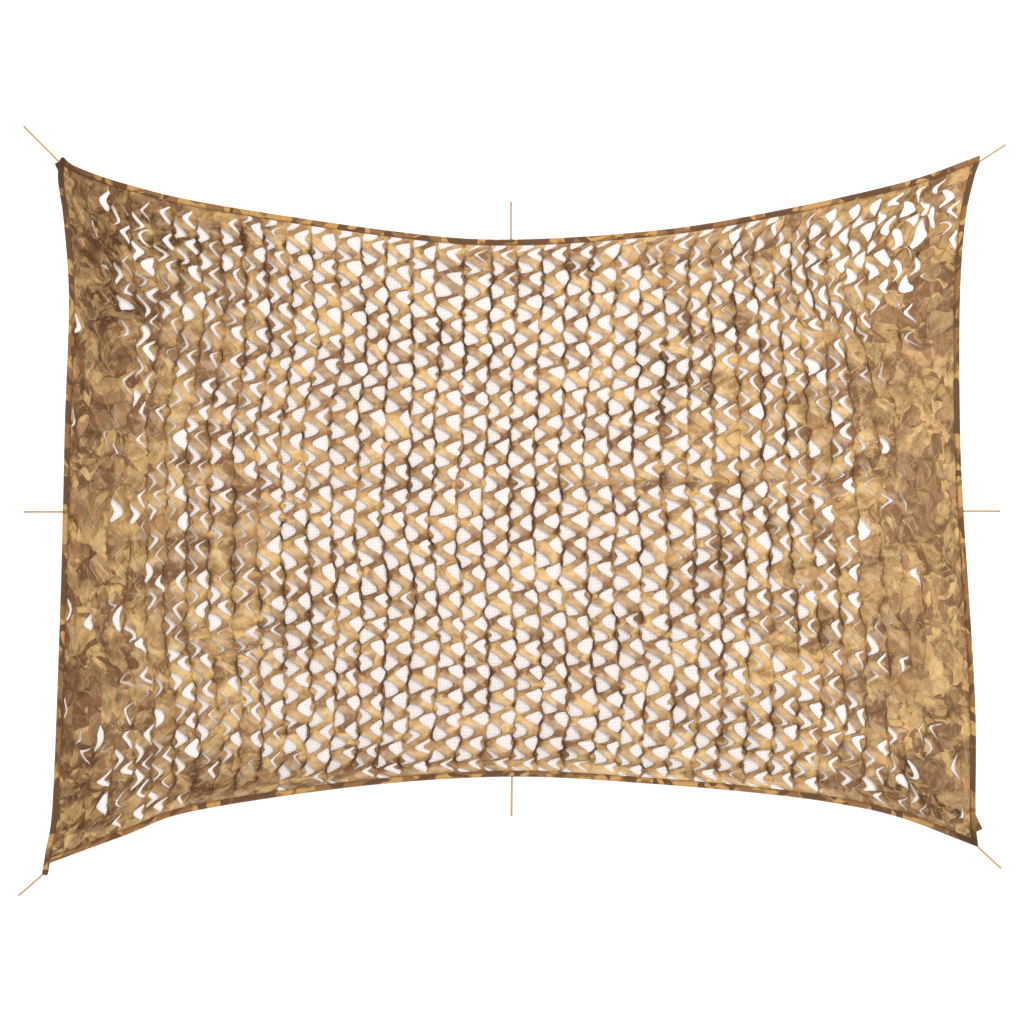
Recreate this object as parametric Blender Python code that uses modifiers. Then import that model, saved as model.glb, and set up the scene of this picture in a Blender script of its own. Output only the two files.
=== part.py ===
"""Desert camouflage netting: a leaf-cut garnish bound with folded webbing and guyed by eight tie cords.

The net lies face up on the surface, in metres, with +X along its length, +Y across it and +Z up.
Guying draws the four edges into curves. The garnish opens widest in the middle and bunches into
uncut pleats at both ends. The finer cuts between these gaps, and the backing mesh, are surface work.
"""

import math

import bmesh
import bpy
import numpy as np
from mathutils import Vector
from mathutils.geometry import interpolate_bezier

# --- Driving dimensions ------------------------------------------------------------------------
GAP = 0.0003
GARNISH_THICKNESS = 0.002
BINDING_WIDTH = 0.025
BINDING_LEAF = 0.0012
BINDING_FOLD = 0.002
BINDING_BEVEL = 0.0015
CORD_DIAMETER = 0.008
CORD_STEP = 0.024
TIE_GAP = 0.0005

# Height of the binding: two leaves round the garnish, each GAP clear of it.
BINDING_HEIGHT = 2 * BINDING_LEAF + 2 * GAP + GARNISH_THICKNESS
SELVEDGE_HEIGHT = BINDING_HEIGHT / 2
RESTING_HEIGHT = GARNISH_THICKNESS / 2

# The garnish: lattice columns along X, and half rows along Y, two to each gap. The selvedge is the
# flat border whose outer part is tucked into the binding.
COLUMNS = 20
HALF_ROWS = 22
UNCUT_COLUMNS = 3
SELVEDGE = 0.040
TUCK = 0.010
SPREAD = 0.125
PLEAT_HEIGHT = 0.015
BAND_HEIGHT = 0.010
WANDER = 0.006
WANDER_SEED = 11

# One gap, from the strand at its side to its tip, in columns and half rows: the place of the corner
# on the lattice cell, how far the gap reaches there, its half width, and the lift of its edge in a
# gap that points right and in one that points left.
GAP_OUTLINE = {
    0.0: {"reach": 0.12, "rise": 0.62, "lift_right": 0.000, "lift_left": 0.000},
    0.5: {"reach": 0.40, "rise": 0.46, "lift_right": 0.016, "lift_left": 0.005},
    1.0: {"reach": 0.66, "rise": 0.00, "lift_right": 0.026, "lift_left": 0.009},
}

# Outer edges of the guyed net, each a smooth curve through a few points, from left to right and
# from top to bottom.
EDGES = {
    "top": (
        (-1.926, 1.537), (-1.864, 1.492), (-1.654, 1.419), (-1.286, 1.333), (-0.482, 1.213),
        (-0.006, 1.181), (0.614, 1.220), (1.094, 1.297), (1.667, 1.425), (2.000, 1.541),
    ),
    "bottom": (
        (-2.005, -1.496), (-1.654, -1.367), (-1.367, -1.265), (-0.653, -1.158), (-0.002, -1.117),
        (0.614, -1.149), (1.094, -1.192), (1.406, -1.235), (1.667, -1.295), (1.993, -1.419),
    ),
    "left": (
        (-1.937, 1.532), (-1.945, 1.436), (-1.920, 1.256), (-1.898, 0.922), (-1.915, 0.409),
        (-1.924, 0.016), (-1.937, -0.447), (-1.967, -1.218), (-1.997, -1.432), (-2.014, -1.536),
    ),
    "right": (
        (2.000, 1.541), (1.998, 1.509), (1.974, 1.436), (1.937, 1.256), (1.915, 0.922),
        (1.915, 0.409), (1.930, 0.019), (1.980, -0.790), (1.982, -1.273), (1.993, -1.419),
    ),
}
EDGE_RUN_ON = 0.060
TANGENT_REACH = 0.004
EDGE_SAMPLES = 12
CROSSING_ROUNDS = 6
INWARD_RIGHT_OF_TRAVEL = ("top", "right")

# Webbing strips: stations along each, and what each end meets.
STRIPS = {
    "top": {"stations": 26, "start": "free", "end": "covers right"},
    "bottom": {"stations": 26, "start": "butts left", "end": "covers right"},
    "left": {"stations": 22, "start": "butts top", "end": "free"},
    "right": {"stations": 22, "start": "butts top", "end": "butts bottom"},
}
TAB_ROUNDING = 0.008
TAB_CORNER = 0.3
CORNER_STATIONS = (0.008, 0.018, 0.036, 0.080)
STATION_GAP = 0.002

# Folded ears of webbing that stick out near a strip's end: the ear's tip, measured along the edge
# from its start or, below zero, back from its end, its reach outwards, and its root on each side.
EARS = {
    "left": {"at": 0.030, "reach": 0.018, "before": 0.014, "after": 0.026},
    "right": {"at": -0.077, "reach": 0.027, "before": 0.064, "after": 0.010},
}

# Tie cords: the edge that holds each, where it leaves the binding and where it is cut.
TIES = {
    "tie_top_left": {"edge": "top", "root": (-1.9419, 1.5156), "cut": (-2.091, 1.666)},
    "tie_top": {"edge": "top", "root": (-0.006, 1.181), "cut": (-0.006, 1.341)},
    "tie_top_right": {"edge": "right", "root": (2.0015, 1.5159), "cut": (2.110, 1.587)},
    "tie_left": {"edge": "left", "root": (-1.924, 0.016), "cut": (-2.090, 0.016)},
    "tie_right": {"edge": "right", "root": (1.930, 0.019), "cut": (2.086, 0.019)},
    "tie_bottom_left": {"edge": "left", "root": (-2.0095, -1.5360), "cut": (-2.113, -1.626)},
    "tie_bottom": {"edge": "bottom", "root": (-0.002, -1.117), "cut": (-0.004, -1.285)},
    "tie_bottom_right": {"edge": "bottom", "root": (1.993, -1.419), "cut": (2.090, -1.509)},
}

# Surface finish of each kind of piece: colour, roughness and metallic value.
FINISHES = {
    "garnish": {"color": (0.42, 0.27, 0.14, 1.0), "roughness": 0.85, "metallic": 0.0},
    "webbing": {"color": (0.36, 0.23, 0.12, 1.0), "roughness": 0.80, "metallic": 0.0},
    "cord": {"color": (0.58, 0.42, 0.22, 1.0), "roughness": 0.75, "metallic": 0.0},
}


class Rail:
    """One edge of the net in plan, read by distance along it and by distance inwards from it."""

    def __init__(self, name):
        knots = [Vector((x, y, 0.0)) for x, y in EDGES[name]]
        first_slope = knots[1] - knots[0]
        last_slope = knots[-1] - knots[-2]
        inner_slopes = [(after - before) / 2 for before, after in zip(knots, knots[2:])]
        slopes = [first_slope, *inner_slopes, last_slope]
        path = [knots[0] - first_slope.normalized() * EDGE_RUN_ON]
        for near, far, near_slope, far_slope in zip(knots, knots[1:], slopes, slopes[1:]):
            path += interpolate_bezier(near, near + near_slope / 3, far - far_slope / 3, far, EDGE_SAMPLES)[:-1]
        path += [knots[-1], knots[-1] + last_slope.normalized() * EDGE_RUN_ON]
        self.points = np.array([point[:2] for point in path])
        steps = np.linalg.norm(np.diff(self.points, axis=0), axis=1)
        self.distances = np.concatenate([[0.0], np.cumsum(steps)]) - EDGE_RUN_ON
        self.length = float(self.distances[-1]) - EDGE_RUN_ON
        self.side = 1 if name in INWARD_RIGHT_OF_TRAVEL else -1

    def place(self, distance):
        """The point on the edge at this distance along it."""
        return Vector(np.interp(distance, self.distances, self.points[:, axis]) for axis in (0, 1))

    def way(self, distance):
        """The edge's direction there, taken over a short run."""
        return (self.place(distance + TANGENT_REACH) - self.place(distance - TANGENT_REACH)).normalized()

    def at(self, distance, inset=0.0):
        """The plan point this far along the edge and this far inside it."""
        way = self.way(distance)
        return self.place(distance) + self.side * inset * Vector((way.y, -way.x))

    def crossing(self, inset, other, other_inset):
        """Distance along this edge at which its inset line crosses the other's, refined from their nearest ends."""
        ends = [(here, there) for here in (0.0, self.length) for there in (0.0, other.length)]
        here, there = min(ends, key=lambda pair: (self.place(pair[0]) - other.place(pair[1])).length)
        for _ in range(CROSSING_ROUNDS):
            between = other.at(there, other_inset) - self.at(here, inset)
            way, other_way = self.way(here), other.way(there)
            turn = way.cross(other_way)
            here += between.cross(other_way) / turn
            there += between.cross(way) / turn
        return here

    def nearest(self, point):
        """Distance along the edge of its sample nearest to a plan point."""
        return float(self.distances[np.linalg.norm(self.points - np.array(point), axis=1).argmin()])


class Patch:
    """Plan places inside the four edges, by share across and share up (a Coons patch)."""

    def __init__(self, rails):
        self.rails = rails
        self.spans = {
            "top": self.span("top", "left", "right"),
            "bottom": self.span("bottom", "left", "right"),
            "left": self.span("left", "bottom", "top"),
            "right": self.span("right", "bottom", "top"),
        }

    def span(self, name, first, last):
        """Distances along the named edge at which the two others cross it."""
        return tuple(self.rails[name].crossing(0.0, self.rails[other], 0.0) for other in (first, last))

    def on_edge(self, name, share):
        near, far = self.spans[name]
        return self.rails[name].at(near + share * (far - near))

    def at(self, across, up):
        ruled = (1 - up) * self.on_edge("bottom", across) + up * self.on_edge("top", across)
        ruled += (1 - across) * self.on_edge("left", up) + across * self.on_edge("right", up)
        for name, side in (("bottom", 1 - up), ("top", up)):
            ruled -= side * ((1 - across) * self.on_edge(name, 0.0) + across * self.on_edge(name, 1.0))
        return ruled


def material(name):
    """A plain surface finish from the table."""
    finish = FINISHES[name]
    made = bpy.data.materials.new(name)
    made.use_nodes = True
    shader = made.node_tree.nodes["Principled BSDF"]
    shader.inputs["Base Color"].default_value = finish["color"]
    shader.inputs["Roughness"].default_value = finish["roughness"]
    shader.inputs["Metallic"].default_value = finish["metallic"]
    made.diffuse_color = finish["color"]
    return made


def place_object(name, data, finish, collection, root):
    """An object of this data, in the collection and under the root."""
    made = bpy.data.objects.new(name, data)
    data.materials.append(finish)
    collection.objects.link(made)
    made.parent = root
    return made


def spread(column):
    """Share across the net of a lattice column: widest in the middle, bunched at both ends."""
    if not 0 <= column <= COLUMNS:
        return 0.5 + math.copysign(0.5 - TUCK / net_length(), column - COLUMNS / 2)
    place = 2 * column / COLUMNS - 1
    eased = (1 + SPREAD) * place - SPREAD * place**5
    return 0.5 + eased * (0.5 - SELVEDGE / net_length())


def climb(half_row):
    """Share up the net of a lattice half row."""
    if not 0 <= half_row <= HALF_ROWS:
        return 0.5 + math.copysign(0.5 - TUCK / net_height(), half_row - HALF_ROWS / 2)
    return 0.5 + (half_row / HALF_ROWS - 0.5) * (1 - 2 * SELVEDGE / net_height())


def net_length():
    """The net's length across its top corners."""
    return EDGES["right"][0][0] - EDGES["left"][0][0]


def net_height():
    """The net's height along its left edge."""
    return EDGES["left"][0][1] - EDGES["left"][-1][1]


def in_lattice(*places):
    """Whether all these lattice places are inside the selvedge."""
    return all(0 <= place.x <= COLUMNS and 0 <= place.y <= HALF_ROWS for place in places)


def lattice():
    """A flat lattice of cells, one for each gap, in columns and half rows.

    A zigzag band crosses each column between two upright strands, and cuts it into cells with a side
    on one strand and a tip at the other.
    """
    mesh = bmesh.new()
    wide, high = COLUMNS + 2, HALF_ROWS + 2
    bmesh.ops.create_grid(mesh, x_segments=wide, y_segments=high, size=1.0)
    for vert in mesh.verts:
        vert.co.x = round((vert.co.x + 1) / 2 * wide) - 1
        vert.co.y = round((vert.co.y + 1) / 2 * high) - 1
    for face in list(mesh.faces):
        corners = {(round(vert.co.x), round(vert.co.y)): vert for vert in face.verts}
        if not in_lattice(*(vert.co for vert in face.verts)):
            continue
        left, low = min(corners)
        rises = low % 2 == 0
        start, end = ((left, low), (left + 1, low + 1)) if rises else ((left, low + 1), (left + 1, low))
        bmesh.utils.face_split(face, corners[start], corners[end])
    rungs = [edge for edge in mesh.edges if is_rung(*(vert.co for vert in edge.verts))]
    bmesh.ops.dissolve_edges(mesh, edges=rungs, use_verts=False)
    slants = [edge for edge in mesh.edges if is_slant(*(vert.co for vert in edge.verts))]
    for edge in slants:
        bmesh.utils.edge_split(edge, edge.verts[0], 0.5)
    return mesh


def is_rung(start, end):
    """Whether an edge crosses a column inside the lattice, and so lies inside a cell."""
    return start.y == end.y and 0 < start.y < HALF_ROWS and in_lattice(start, end)


def is_slant(start, end):
    """Whether an edge is part of a zigzag band's middle line."""
    return start.x != end.x and start.y != end.y


def cell_frame(face):
    """The column that holds a cell, which way its gap points, and its middle half row; None for part of one."""
    if len(face.verts) != 6:
        return None
    middle = sum(vert.co.x for vert in face.verts) / len(face.verts)
    column = math.floor(middle)
    row = sum(vert.co.y for vert in face.verts) / len(face.verts)
    return column, 1 if middle - column < 0.5 else -1, round(row)


def cut_gaps(mesh):
    """Cuts a gap in each whole cell of the open columns, and lifts its tip."""
    cells = {}
    for face in mesh.faces:
        frame = cell_frame(face) if in_lattice(*(vert.co for vert in face.verts)) else None
        if frame and UNCUT_COLUMNS <= frame[0] < COLUMNS - UNCUT_COLUMNS:
            cells[face] = frame
    bmesh.ops.inset_individual(mesh, faces=list(cells), thickness=0.01)
    spare = []
    for face, (column, points, row) in cells.items():
        strand = column if points > 0 else column + 1
        opening = gap_opening(strand, row)
        for vert in face.verts:
            outer = next(edge.other_vert(vert) for edge in vert.link_edges if edge not in face.edges)
            along = abs(outer.co.x - strand)
            up = outer.co.y - row
            if along == 0 and up == 0:
                spare.append(vert)
                continue
            shape = GAP_OUTLINE[along]
            vert.co.x = strand + points * shape["reach"] * opening
            vert.co.y = row + math.copysign(shape["rise"], up) * opening
            vert.co.z = shape["lift_right"] if points > 0 else shape["lift_left"]
    bmesh.ops.delete(mesh, geom=list(cells), context="FACES_ONLY")
    bmesh.ops.dissolve_verts(mesh, verts=spare)


def gap_opening(column, half_row):
    """How far a gap opens: fully in the middle of the net, less towards its edges."""
    across = abs(2 * column / COLUMNS - 1)
    up = abs(2 * half_row / HALF_ROWS - 1)
    return 1.0 - 0.22 * across**3 - 0.14 * up**4


def rest_height(place):
    """Middle height of the uncut cloth at a lattice place, over the resting strands."""
    if not in_lattice(place) or place.x in (0, COLUMNS) or place.y in (0, HALF_ROWS):
        return SELVEDGE_HEIGHT - RESTING_HEIGHT
    if place.x != round(place.x):
        return BAND_HEIGHT
    pleated = min(place.x, COLUMNS - place.x) < UNCUT_COLUMNS
    return PLEAT_HEIGHT if pleated and round(place.x) % 2 == 1 else 0.0


def garnish(patch, finish, collection, root):
    """The incised cloth: a lattice with its gaps cut, laid out inside the edges and given its thickness."""
    mesh = lattice()
    for vert in mesh.verts:
        vert.co.z = rest_height(vert.co)
    cut_gaps(mesh)
    random = np.random.default_rng(WANDER_SEED)
    for vert in mesh.verts:
        x, y = patch.at(spread(vert.co.x), climb(vert.co.y))
        held = not in_lattice(vert.co) or vert.co.x in (0, COLUMNS) or vert.co.y in (0, HALF_ROWS)
        wander = random.uniform(-WANDER, WANDER, 2) * (0 if held else 1)
        vert.co = (x + wander[0], y + wander[1], vert.co.z + RESTING_HEIGHT)
    bmesh.ops.triangulate(mesh, faces=mesh.faces)
    bmesh.ops.recalc_face_normals(mesh, faces=mesh.faces)
    data = bpy.data.meshes.new("garnish")
    mesh.to_mesh(data)
    mesh.free()
    made = place_object("garnish", data, finish, collection, root)
    shell = made.modifiers.new("cloth thickness", "SOLIDIFY")
    shell.thickness = GARNISH_THICKNESS
    shell.offset = 0.0
    return made


def fold_profile():
    """Section of the folded webbing: inset from the edge and height, round its outline."""
    slot_low, slot_high = BINDING_LEAF, BINDING_HEIGHT - BINDING_LEAF
    return (
        (BINDING_WIDTH, 0.0),
        (BINDING_BEVEL, 0.0),
        (0.0, BINDING_BEVEL),
        (0.0, BINDING_HEIGHT - BINDING_BEVEL),
        (BINDING_BEVEL, BINDING_HEIGHT),
        (BINDING_WIDTH, BINDING_HEIGHT),
        (BINDING_WIDTH, slot_high),
        (BINDING_FOLD, slot_high),
        (BINDING_FOLD, slot_low),
        (BINDING_WIDTH, slot_low),
    )


def strip_end(name, which, rails):
    """Distances along the outer and the inner line of a strip at its start or end."""
    rail = rails[name]
    meets = STRIPS[name][which]
    if meets == "free":
        distance = 0.0 if which == "start" else rail.length
        return distance, distance
    manner, other = meets.split()
    other_inset = 0.0 if manner == "covers" else BINDING_WIDTH + GAP
    return tuple(rail.crossing(inset, rails[other], other_inset) for inset in (0.0, BINDING_WIDTH))


def ear_reach(name, distance, length):
    """How far the webbing's folded ear sticks out at this distance along the strip."""
    if name not in EARS:
        return 0.0
    ear = EARS[name]
    past = distance - ear["at"] % length
    return ear["reach"] * max(0.0, 1 + past / ear["before"] if past < 0 else 1 - past / ear["after"])


def tab_taper(distance):
    """How far the sides of a free end draw in at this distance from it."""
    short = min(1.0, max(0.0, 1 - distance / TAB_ROUNDING))
    return TAB_ROUNDING * (1 - math.sqrt(1 - short**2))


def strip_stations(name, rail, start, end):
    """Distances along a strip at which it has a section: evenly, at its ties and ear, and closer at its ends."""
    places = set(np.linspace(start, end, STRIPS[name]["stations"]).tolist())
    places |= {start + step for step in CORNER_STATIONS} | {end - step for step in CORNER_STATIONS}
    places |= {rail.nearest(tie["root"]) for tie in TIES.values() if tie["edge"] == name}
    if name in EARS:
        ear = EARS[name]
        tip = ear["at"] % rail.length
        places |= {tip - ear["before"], tip, tip + ear["after"]}
    if STRIPS[name]["start"] == "free":
        places.add(start + TAB_ROUNDING * TAB_CORNER)
    if STRIPS[name]["end"] == "free":
        places.add(end - TAB_ROUNDING * TAB_CORNER)
    apart = [start]
    for place in sorted(places):
        if place - apart[-1] > STATION_GAP and end - place > STATION_GAP:
            apart.append(place)
    return [*apart, end]


def binding_strip(name, rails, finish, collection, root):
    """A strip of webbing folded round one edge of the garnish, its sections lofted end to end."""
    rail = rails[name]
    (start, inner_start), (end, inner_end) = (strip_end(name, which, rails) for which in ("start", "end"))
    mesh = bmesh.new()
    rings = []
    for distance in strip_stations(name, rail, start, end):
        share = (distance - start) / (end - start)
        inner = rail.at(inner_start + share * (inner_end - inner_start), BINDING_WIDTH)
        outer = rail.at(distance)
        eared = rail.at(distance, -ear_reach(name, distance, rail.length))
        from_start = distance - start if STRIPS[name]["start"] == "free" else TAB_ROUNDING
        from_end = end - distance if STRIPS[name]["end"] == "free" else TAB_ROUNDING
        taper = tab_taper(min(from_start, from_end)) / BINDING_WIDTH
        ring = []
        for inset, height in fold_profile():
            across = taper + (1 - 2 * taper) * inset / BINDING_WIDTH
            edge = outer if inset >= BINDING_FOLD else eared
            x, y = edge.lerp(inner, across)
            ring.append(mesh.verts.new((x, y, height)))
        rings.append(ring)
    for near, far in zip(rings, rings[1:]):
        for k in range(len(near)):
            mesh.faces.new((near[k - 1], near[k], far[k], far[k - 1]))
    mesh.faces.new(rings[0])
    mesh.faces.new(rings[-1][::-1])
    bmesh.ops.recalc_face_normals(mesh, faces=mesh.faces)
    data = bpy.data.meshes.new(f"binding_{name}")
    mesh.to_mesh(data)
    mesh.free()
    return place_object(f"binding_{name}", data, finish, collection, root)


def tie_cord(name, finish, collection, root):
    """A guy cord from the binding to its cut end, resting on the surface."""
    height = CORD_DIAMETER / 2 + GAP / 3
    near, far = (Vector((*TIES[name][end], height)) for end in ("root", "cut"))
    near += (far - near).normalized() * TIE_GAP
    count = round((far - near).length / CORD_STEP) + 1
    data = bpy.data.curves.new(name, "CURVE")
    data.dimensions = "3D"
    data.bevel_depth = CORD_DIAMETER / 2
    data.bevel_resolution = 2
    data.use_fill_caps = True
    path = data.splines.new("POLY")
    path.points.add(count - 1)
    for k, point in enumerate(path.points):
        point.co = (*near.lerp(far, k / (count - 1)), 1.0)
    return place_object(name, data, finish, collection, root)


def centre(root, pieces):
    """Moves the root so that the net's bounding box is centred over the origin."""
    graph = bpy.context.evaluated_depsgraph_get()
    corners = [Vector(corner) for piece in pieces for corner in piece.evaluated_get(graph).bound_box]
    for axis in (0, 1):
        root.location[axis] = -(min(c[axis] for c in corners) + max(c[axis] for c in corners)) / 2


def main():
    """Builds the net, its binding and its ties under one root."""
    for old in list(bpy.data.objects):
        bpy.data.objects.remove(old, do_unlink=True)
    collection = bpy.data.collections.new("camouflage_netting")
    bpy.context.scene.collection.children.link(collection)
    root = bpy.data.objects.new("camouflage_netting", None)
    collection.objects.link(root)
    finishes = {name: material(name) for name in FINISHES}
    rails = {name: Rail(name) for name in EDGES}
    net = [garnish(Patch(rails), finishes["garnish"], collection, root)]
    net += [binding_strip(name, rails, finishes["webbing"], collection, root) for name in STRIPS]
    for name in TIES:
        tie_cord(name, finishes["cord"], collection, root)
    centre(root, net)


main()
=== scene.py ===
"""Desert camouflage netting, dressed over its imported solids.

The net lies face up in metres, with +X along its length and +Y up its face. The garnish is one
sheet of cloth with every slit of its lattice, the binding is folded webbing with its stitches, and
the ties are laid cords. A fine pale backing mesh lies under the garnish.
"""

import logging
import math
from dataclasses import dataclass
from enum import Enum
from typing import Any, Sequence

import bpy
import numpy as np
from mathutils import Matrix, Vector
from mathutils.geometry import interpolate_bezier


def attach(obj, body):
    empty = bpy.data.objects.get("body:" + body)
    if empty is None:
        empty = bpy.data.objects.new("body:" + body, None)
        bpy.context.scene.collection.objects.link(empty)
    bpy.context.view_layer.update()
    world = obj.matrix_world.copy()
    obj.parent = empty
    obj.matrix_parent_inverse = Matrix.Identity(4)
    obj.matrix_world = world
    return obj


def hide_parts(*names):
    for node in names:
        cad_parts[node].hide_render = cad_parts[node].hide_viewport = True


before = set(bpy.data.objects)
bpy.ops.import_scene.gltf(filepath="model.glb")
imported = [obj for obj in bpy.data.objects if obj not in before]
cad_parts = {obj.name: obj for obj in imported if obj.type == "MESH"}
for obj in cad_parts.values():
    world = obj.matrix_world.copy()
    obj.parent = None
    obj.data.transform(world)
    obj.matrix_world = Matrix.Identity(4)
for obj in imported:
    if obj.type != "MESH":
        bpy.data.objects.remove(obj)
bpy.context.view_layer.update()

log = logging.getLogger("camouflage_netting")

# Two numbers, a curve as its places and its values there, and a linear colour with alpha.
Pair = tuple[float, float]
Steps = tuple[tuple[float, ...], tuple[float, ...]]
Colour = tuple[float, float, float, float]

BODY = "root"
NET_CENTRE = (0.00051, -0.00112)

# Outer edges of the guyed net in plan, before the net is centred, from left to right and from top
# to bottom.
EDGES = {
    "top": (
        (-1.926, 1.537), (-1.864, 1.492), (-1.654, 1.419), (-1.286, 1.333), (-0.482, 1.213),
        (-0.006, 1.181), (0.614, 1.220), (1.094, 1.297), (1.667, 1.425), (2.000, 1.541),
    ),
    "bottom": (
        (-2.005, -1.496), (-1.654, -1.367), (-1.367, -1.265), (-0.653, -1.158), (-0.002, -1.117),
        (0.614, -1.149), (1.094, -1.192), (1.406, -1.235), (1.667, -1.295), (1.993, -1.419),
    ),
    "left": (
        (-1.937, 1.532), (-1.945, 1.436), (-1.920, 1.256), (-1.898, 0.922), (-1.915, 0.409),
        (-1.924, 0.016), (-1.937, -0.447), (-1.967, -1.218), (-1.997, -1.432), (-2.014, -1.536),
    ),
    "right": (
        (2.000, 1.541), (1.998, 1.509), (1.974, 1.436), (1.937, 1.256), (1.915, 0.922),
        (1.915, 0.409), (1.930, 0.019), (1.980, -0.790), (1.982, -1.273), (1.993, -1.419),
    ),
}

# Tie cords in plan, before the net is centred: where each leaves the binding, and where it is cut.
TIES = {
    "tie_top_left": ((-1.9419, 1.5156), (-2.091, 1.666)),
    "tie_top": ((-0.006, 1.181), (-0.006, 1.341)),
    "tie_top_right": ((2.0015, 1.5159), (2.110, 1.587)),
    "tie_left": ((-1.924, 0.016), (-2.090, 0.016)),
    "tie_right": ((1.930, 0.019), (2.086, 0.019)),
    "tie_bottom_left": ((-2.0095, -1.5360), (-2.113, -1.626)),
    "tie_bottom": ((-0.002, -1.117), (-0.004, -1.285)),
    "tie_bottom_right": ((1.993, -1.419), (2.090, -1.509)),
}


class End(Enum):
    """What a webbing strip does at one of its ends."""

    FREE = "free"
    BUTTS = "butts"
    COVERS = "covers"


# The four webbing strips: what each end does, and the strip that it meets there.
STRIPS = {
    "top": {"start": (End.FREE, None), "end": (End.COVERS, "right")},
    "bottom": {"start": (End.BUTTS, "left"), "end": (End.COVERS, "right")},
    "left": {"start": (End.BUTTS, "top"), "end": (End.FREE, None)},
    "right": {"start": (End.BUTTS, "top"), "end": (End.BUTTS, "bottom")},
}


@dataclass(frozen=True)
class Ear:
    """A folded ear of webbing.

    It has its tip's distance along the strip, or back from its end below zero, its reach outwards
    and the length of its root before and after the tip.
    """

    tip: float
    reach: float
    before: float
    after: float


EARS = {"left": Ear(0.030, 0.018, 0.014, 0.026), "right": Ear(-0.077, 0.027, 0.064, 0.010)}

# Corners in plan, before the net is centred, near which the webbing is painted darker.
DARKER_WEBBING_CORNERS = ((-1.93, 1.53), (1.99, -1.42))


# --- Node helpers ------------------------------------------------------------------------------


class Tree:
    """A node tree, with one method that adds any node."""

    def __init__(self, node_tree: bpy.types.NodeTree) -> None:
        """Wraps a node tree and empties it."""
        self.nodes = node_tree.nodes
        self.links = node_tree.links
        self.nodes.clear()

    def add(self, kind: str, settings: dict[str, Any] | None = None, **values: Any) -> Any:
        """Adds a node.

        Args:
            kind: The node's type, such as ShaderNodeMath.
            settings: Attributes to set first.
            values: A number, colour or Wave for each input, by its name with spaces as underscores,
                or by its number as in_0.

        Returns:
            The node.
        """
        node = self.nodes.new(kind)
        for name, value in (settings or {}).items():
            setattr(node, name, value)
        for name, value in values.items():
            key = int(name[3:]) if name.startswith("in_") else name.replace("_", " ")
            self.feed(node.inputs[key], value)
        return node

    def feed(self, socket: Any, value: Any) -> None:
        """Links a Wave to a socket, or sets the socket to a plain value."""
        if isinstance(value, Wave):
            self.links.new(value.socket, socket)
        else:
            socket.default_value = value

    def wave(self, socket: Any) -> "Wave":
        """The socket as a Wave of this tree."""
        return Wave(self, socket)


class Wave:
    """A value that varies over a shape: one socket, with the arithmetic that the trees use."""

    def __init__(self, tree: Tree, socket: Any) -> None:
        """Wraps an output socket of the tree."""
        self.tree = tree
        self.socket = socket

    def _math(self, operation: str, first: Any, second: Any = 0.0) -> "Wave":
        """A Math node on two numbers or Waves."""
        node = self.tree.add("ShaderNodeMath", {"operation": operation}, in_0=first, in_1=second)
        return Wave(self.tree, node.outputs[0])

    def __add__(self, other: Any) -> "Wave":
        """self + other."""
        return self._math("ADD", self, other)

    __radd__ = __add__

    def __mul__(self, other: Any) -> "Wave":
        """self * other."""
        return self._math("MULTIPLY", self, other)

    __rmul__ = __mul__

    def __sub__(self, other: Any) -> "Wave":
        """self - other."""
        return self._math("SUBTRACT", self, other)

    def __rsub__(self, other: Any) -> "Wave":
        """other - self."""
        return self._math("SUBTRACT", other, self)

    def __truediv__(self, other: Any) -> "Wave":
        """self / other."""
        return self._math("DIVIDE", self, other)

    def over(self, threshold: Any) -> "Wave":
        """1 where self is over the threshold, and 0 elsewhere."""
        return self._math("GREATER_THAN", self, threshold)

    def sine(self) -> "Wave":
        """The sine of self, in radians."""
        return self._math("SINE", self)

    def absolute(self) -> "Wave":
        """The size of self without its sign."""
        return self._math("ABSOLUTE", self)

    def wrapped(self, period: float) -> "Wave":
        """What is left of self over whole periods, from 0 up to the period."""
        return self._math("FLOORED_MODULO", self, period)

    def under(self, threshold: Any) -> "Wave":
        """1 where self is under the threshold, and 0 elsewhere."""
        return self._math("LESS_THAN", self, threshold)

    def upper_half(self) -> "Wave":
        """How far self is over a half: 0 up to there and 1 at 1."""
        return self.between(0.5, 1.0)

    def between(self, low: float, high: float) -> "Wave":
        """self clamped and scaled so that low gives 0 and high gives 1, smoothly.

        Args:
            low: What gives 0.
            high: What gives 1.

        Returns:
            The smoothed share.
        """
        node = self.tree.add(
            "ShaderNodeMapRange",
            {"interpolation_type": "SMOOTHSTEP"},
            Value=self,
            From_Min=low,
            From_Max=high,
        )
        return Wave(self.tree, node.outputs["Result"])


def dyed(red: float, green: float, blue: float) -> Colour:
    """A linear colour from the 0 to 255 values of a dye.

    Args:
        red: Red, 0 to 255.
        green: Green, 0 to 255.
        blue: Blue, 0 to 255.

    Returns:
        The linear colour with full alpha.
    """
    linear = []
    for value in (red, green, blue):
        share = value / 255
        linear.append(share / 12.92 if share <= 0.04045 else ((share + 0.055) / 1.055) ** 2.4)
    return (linear[0], linear[1], linear[2], 1.0)


@dataclass(frozen=True)
class Clouds:
    """A layer of cloudy noise, and the values between which it fades in.

    It is moved in metres and stretched, so that two layers of one kind differ.
    """

    scale: float
    detail: float = 2.0
    curl: float = 0.0
    moved: Pair = (0.0, 0.0)
    stretch: Pair = (1.0, 1.0)
    fade: Pair = (0.0, 1.0)


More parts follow.
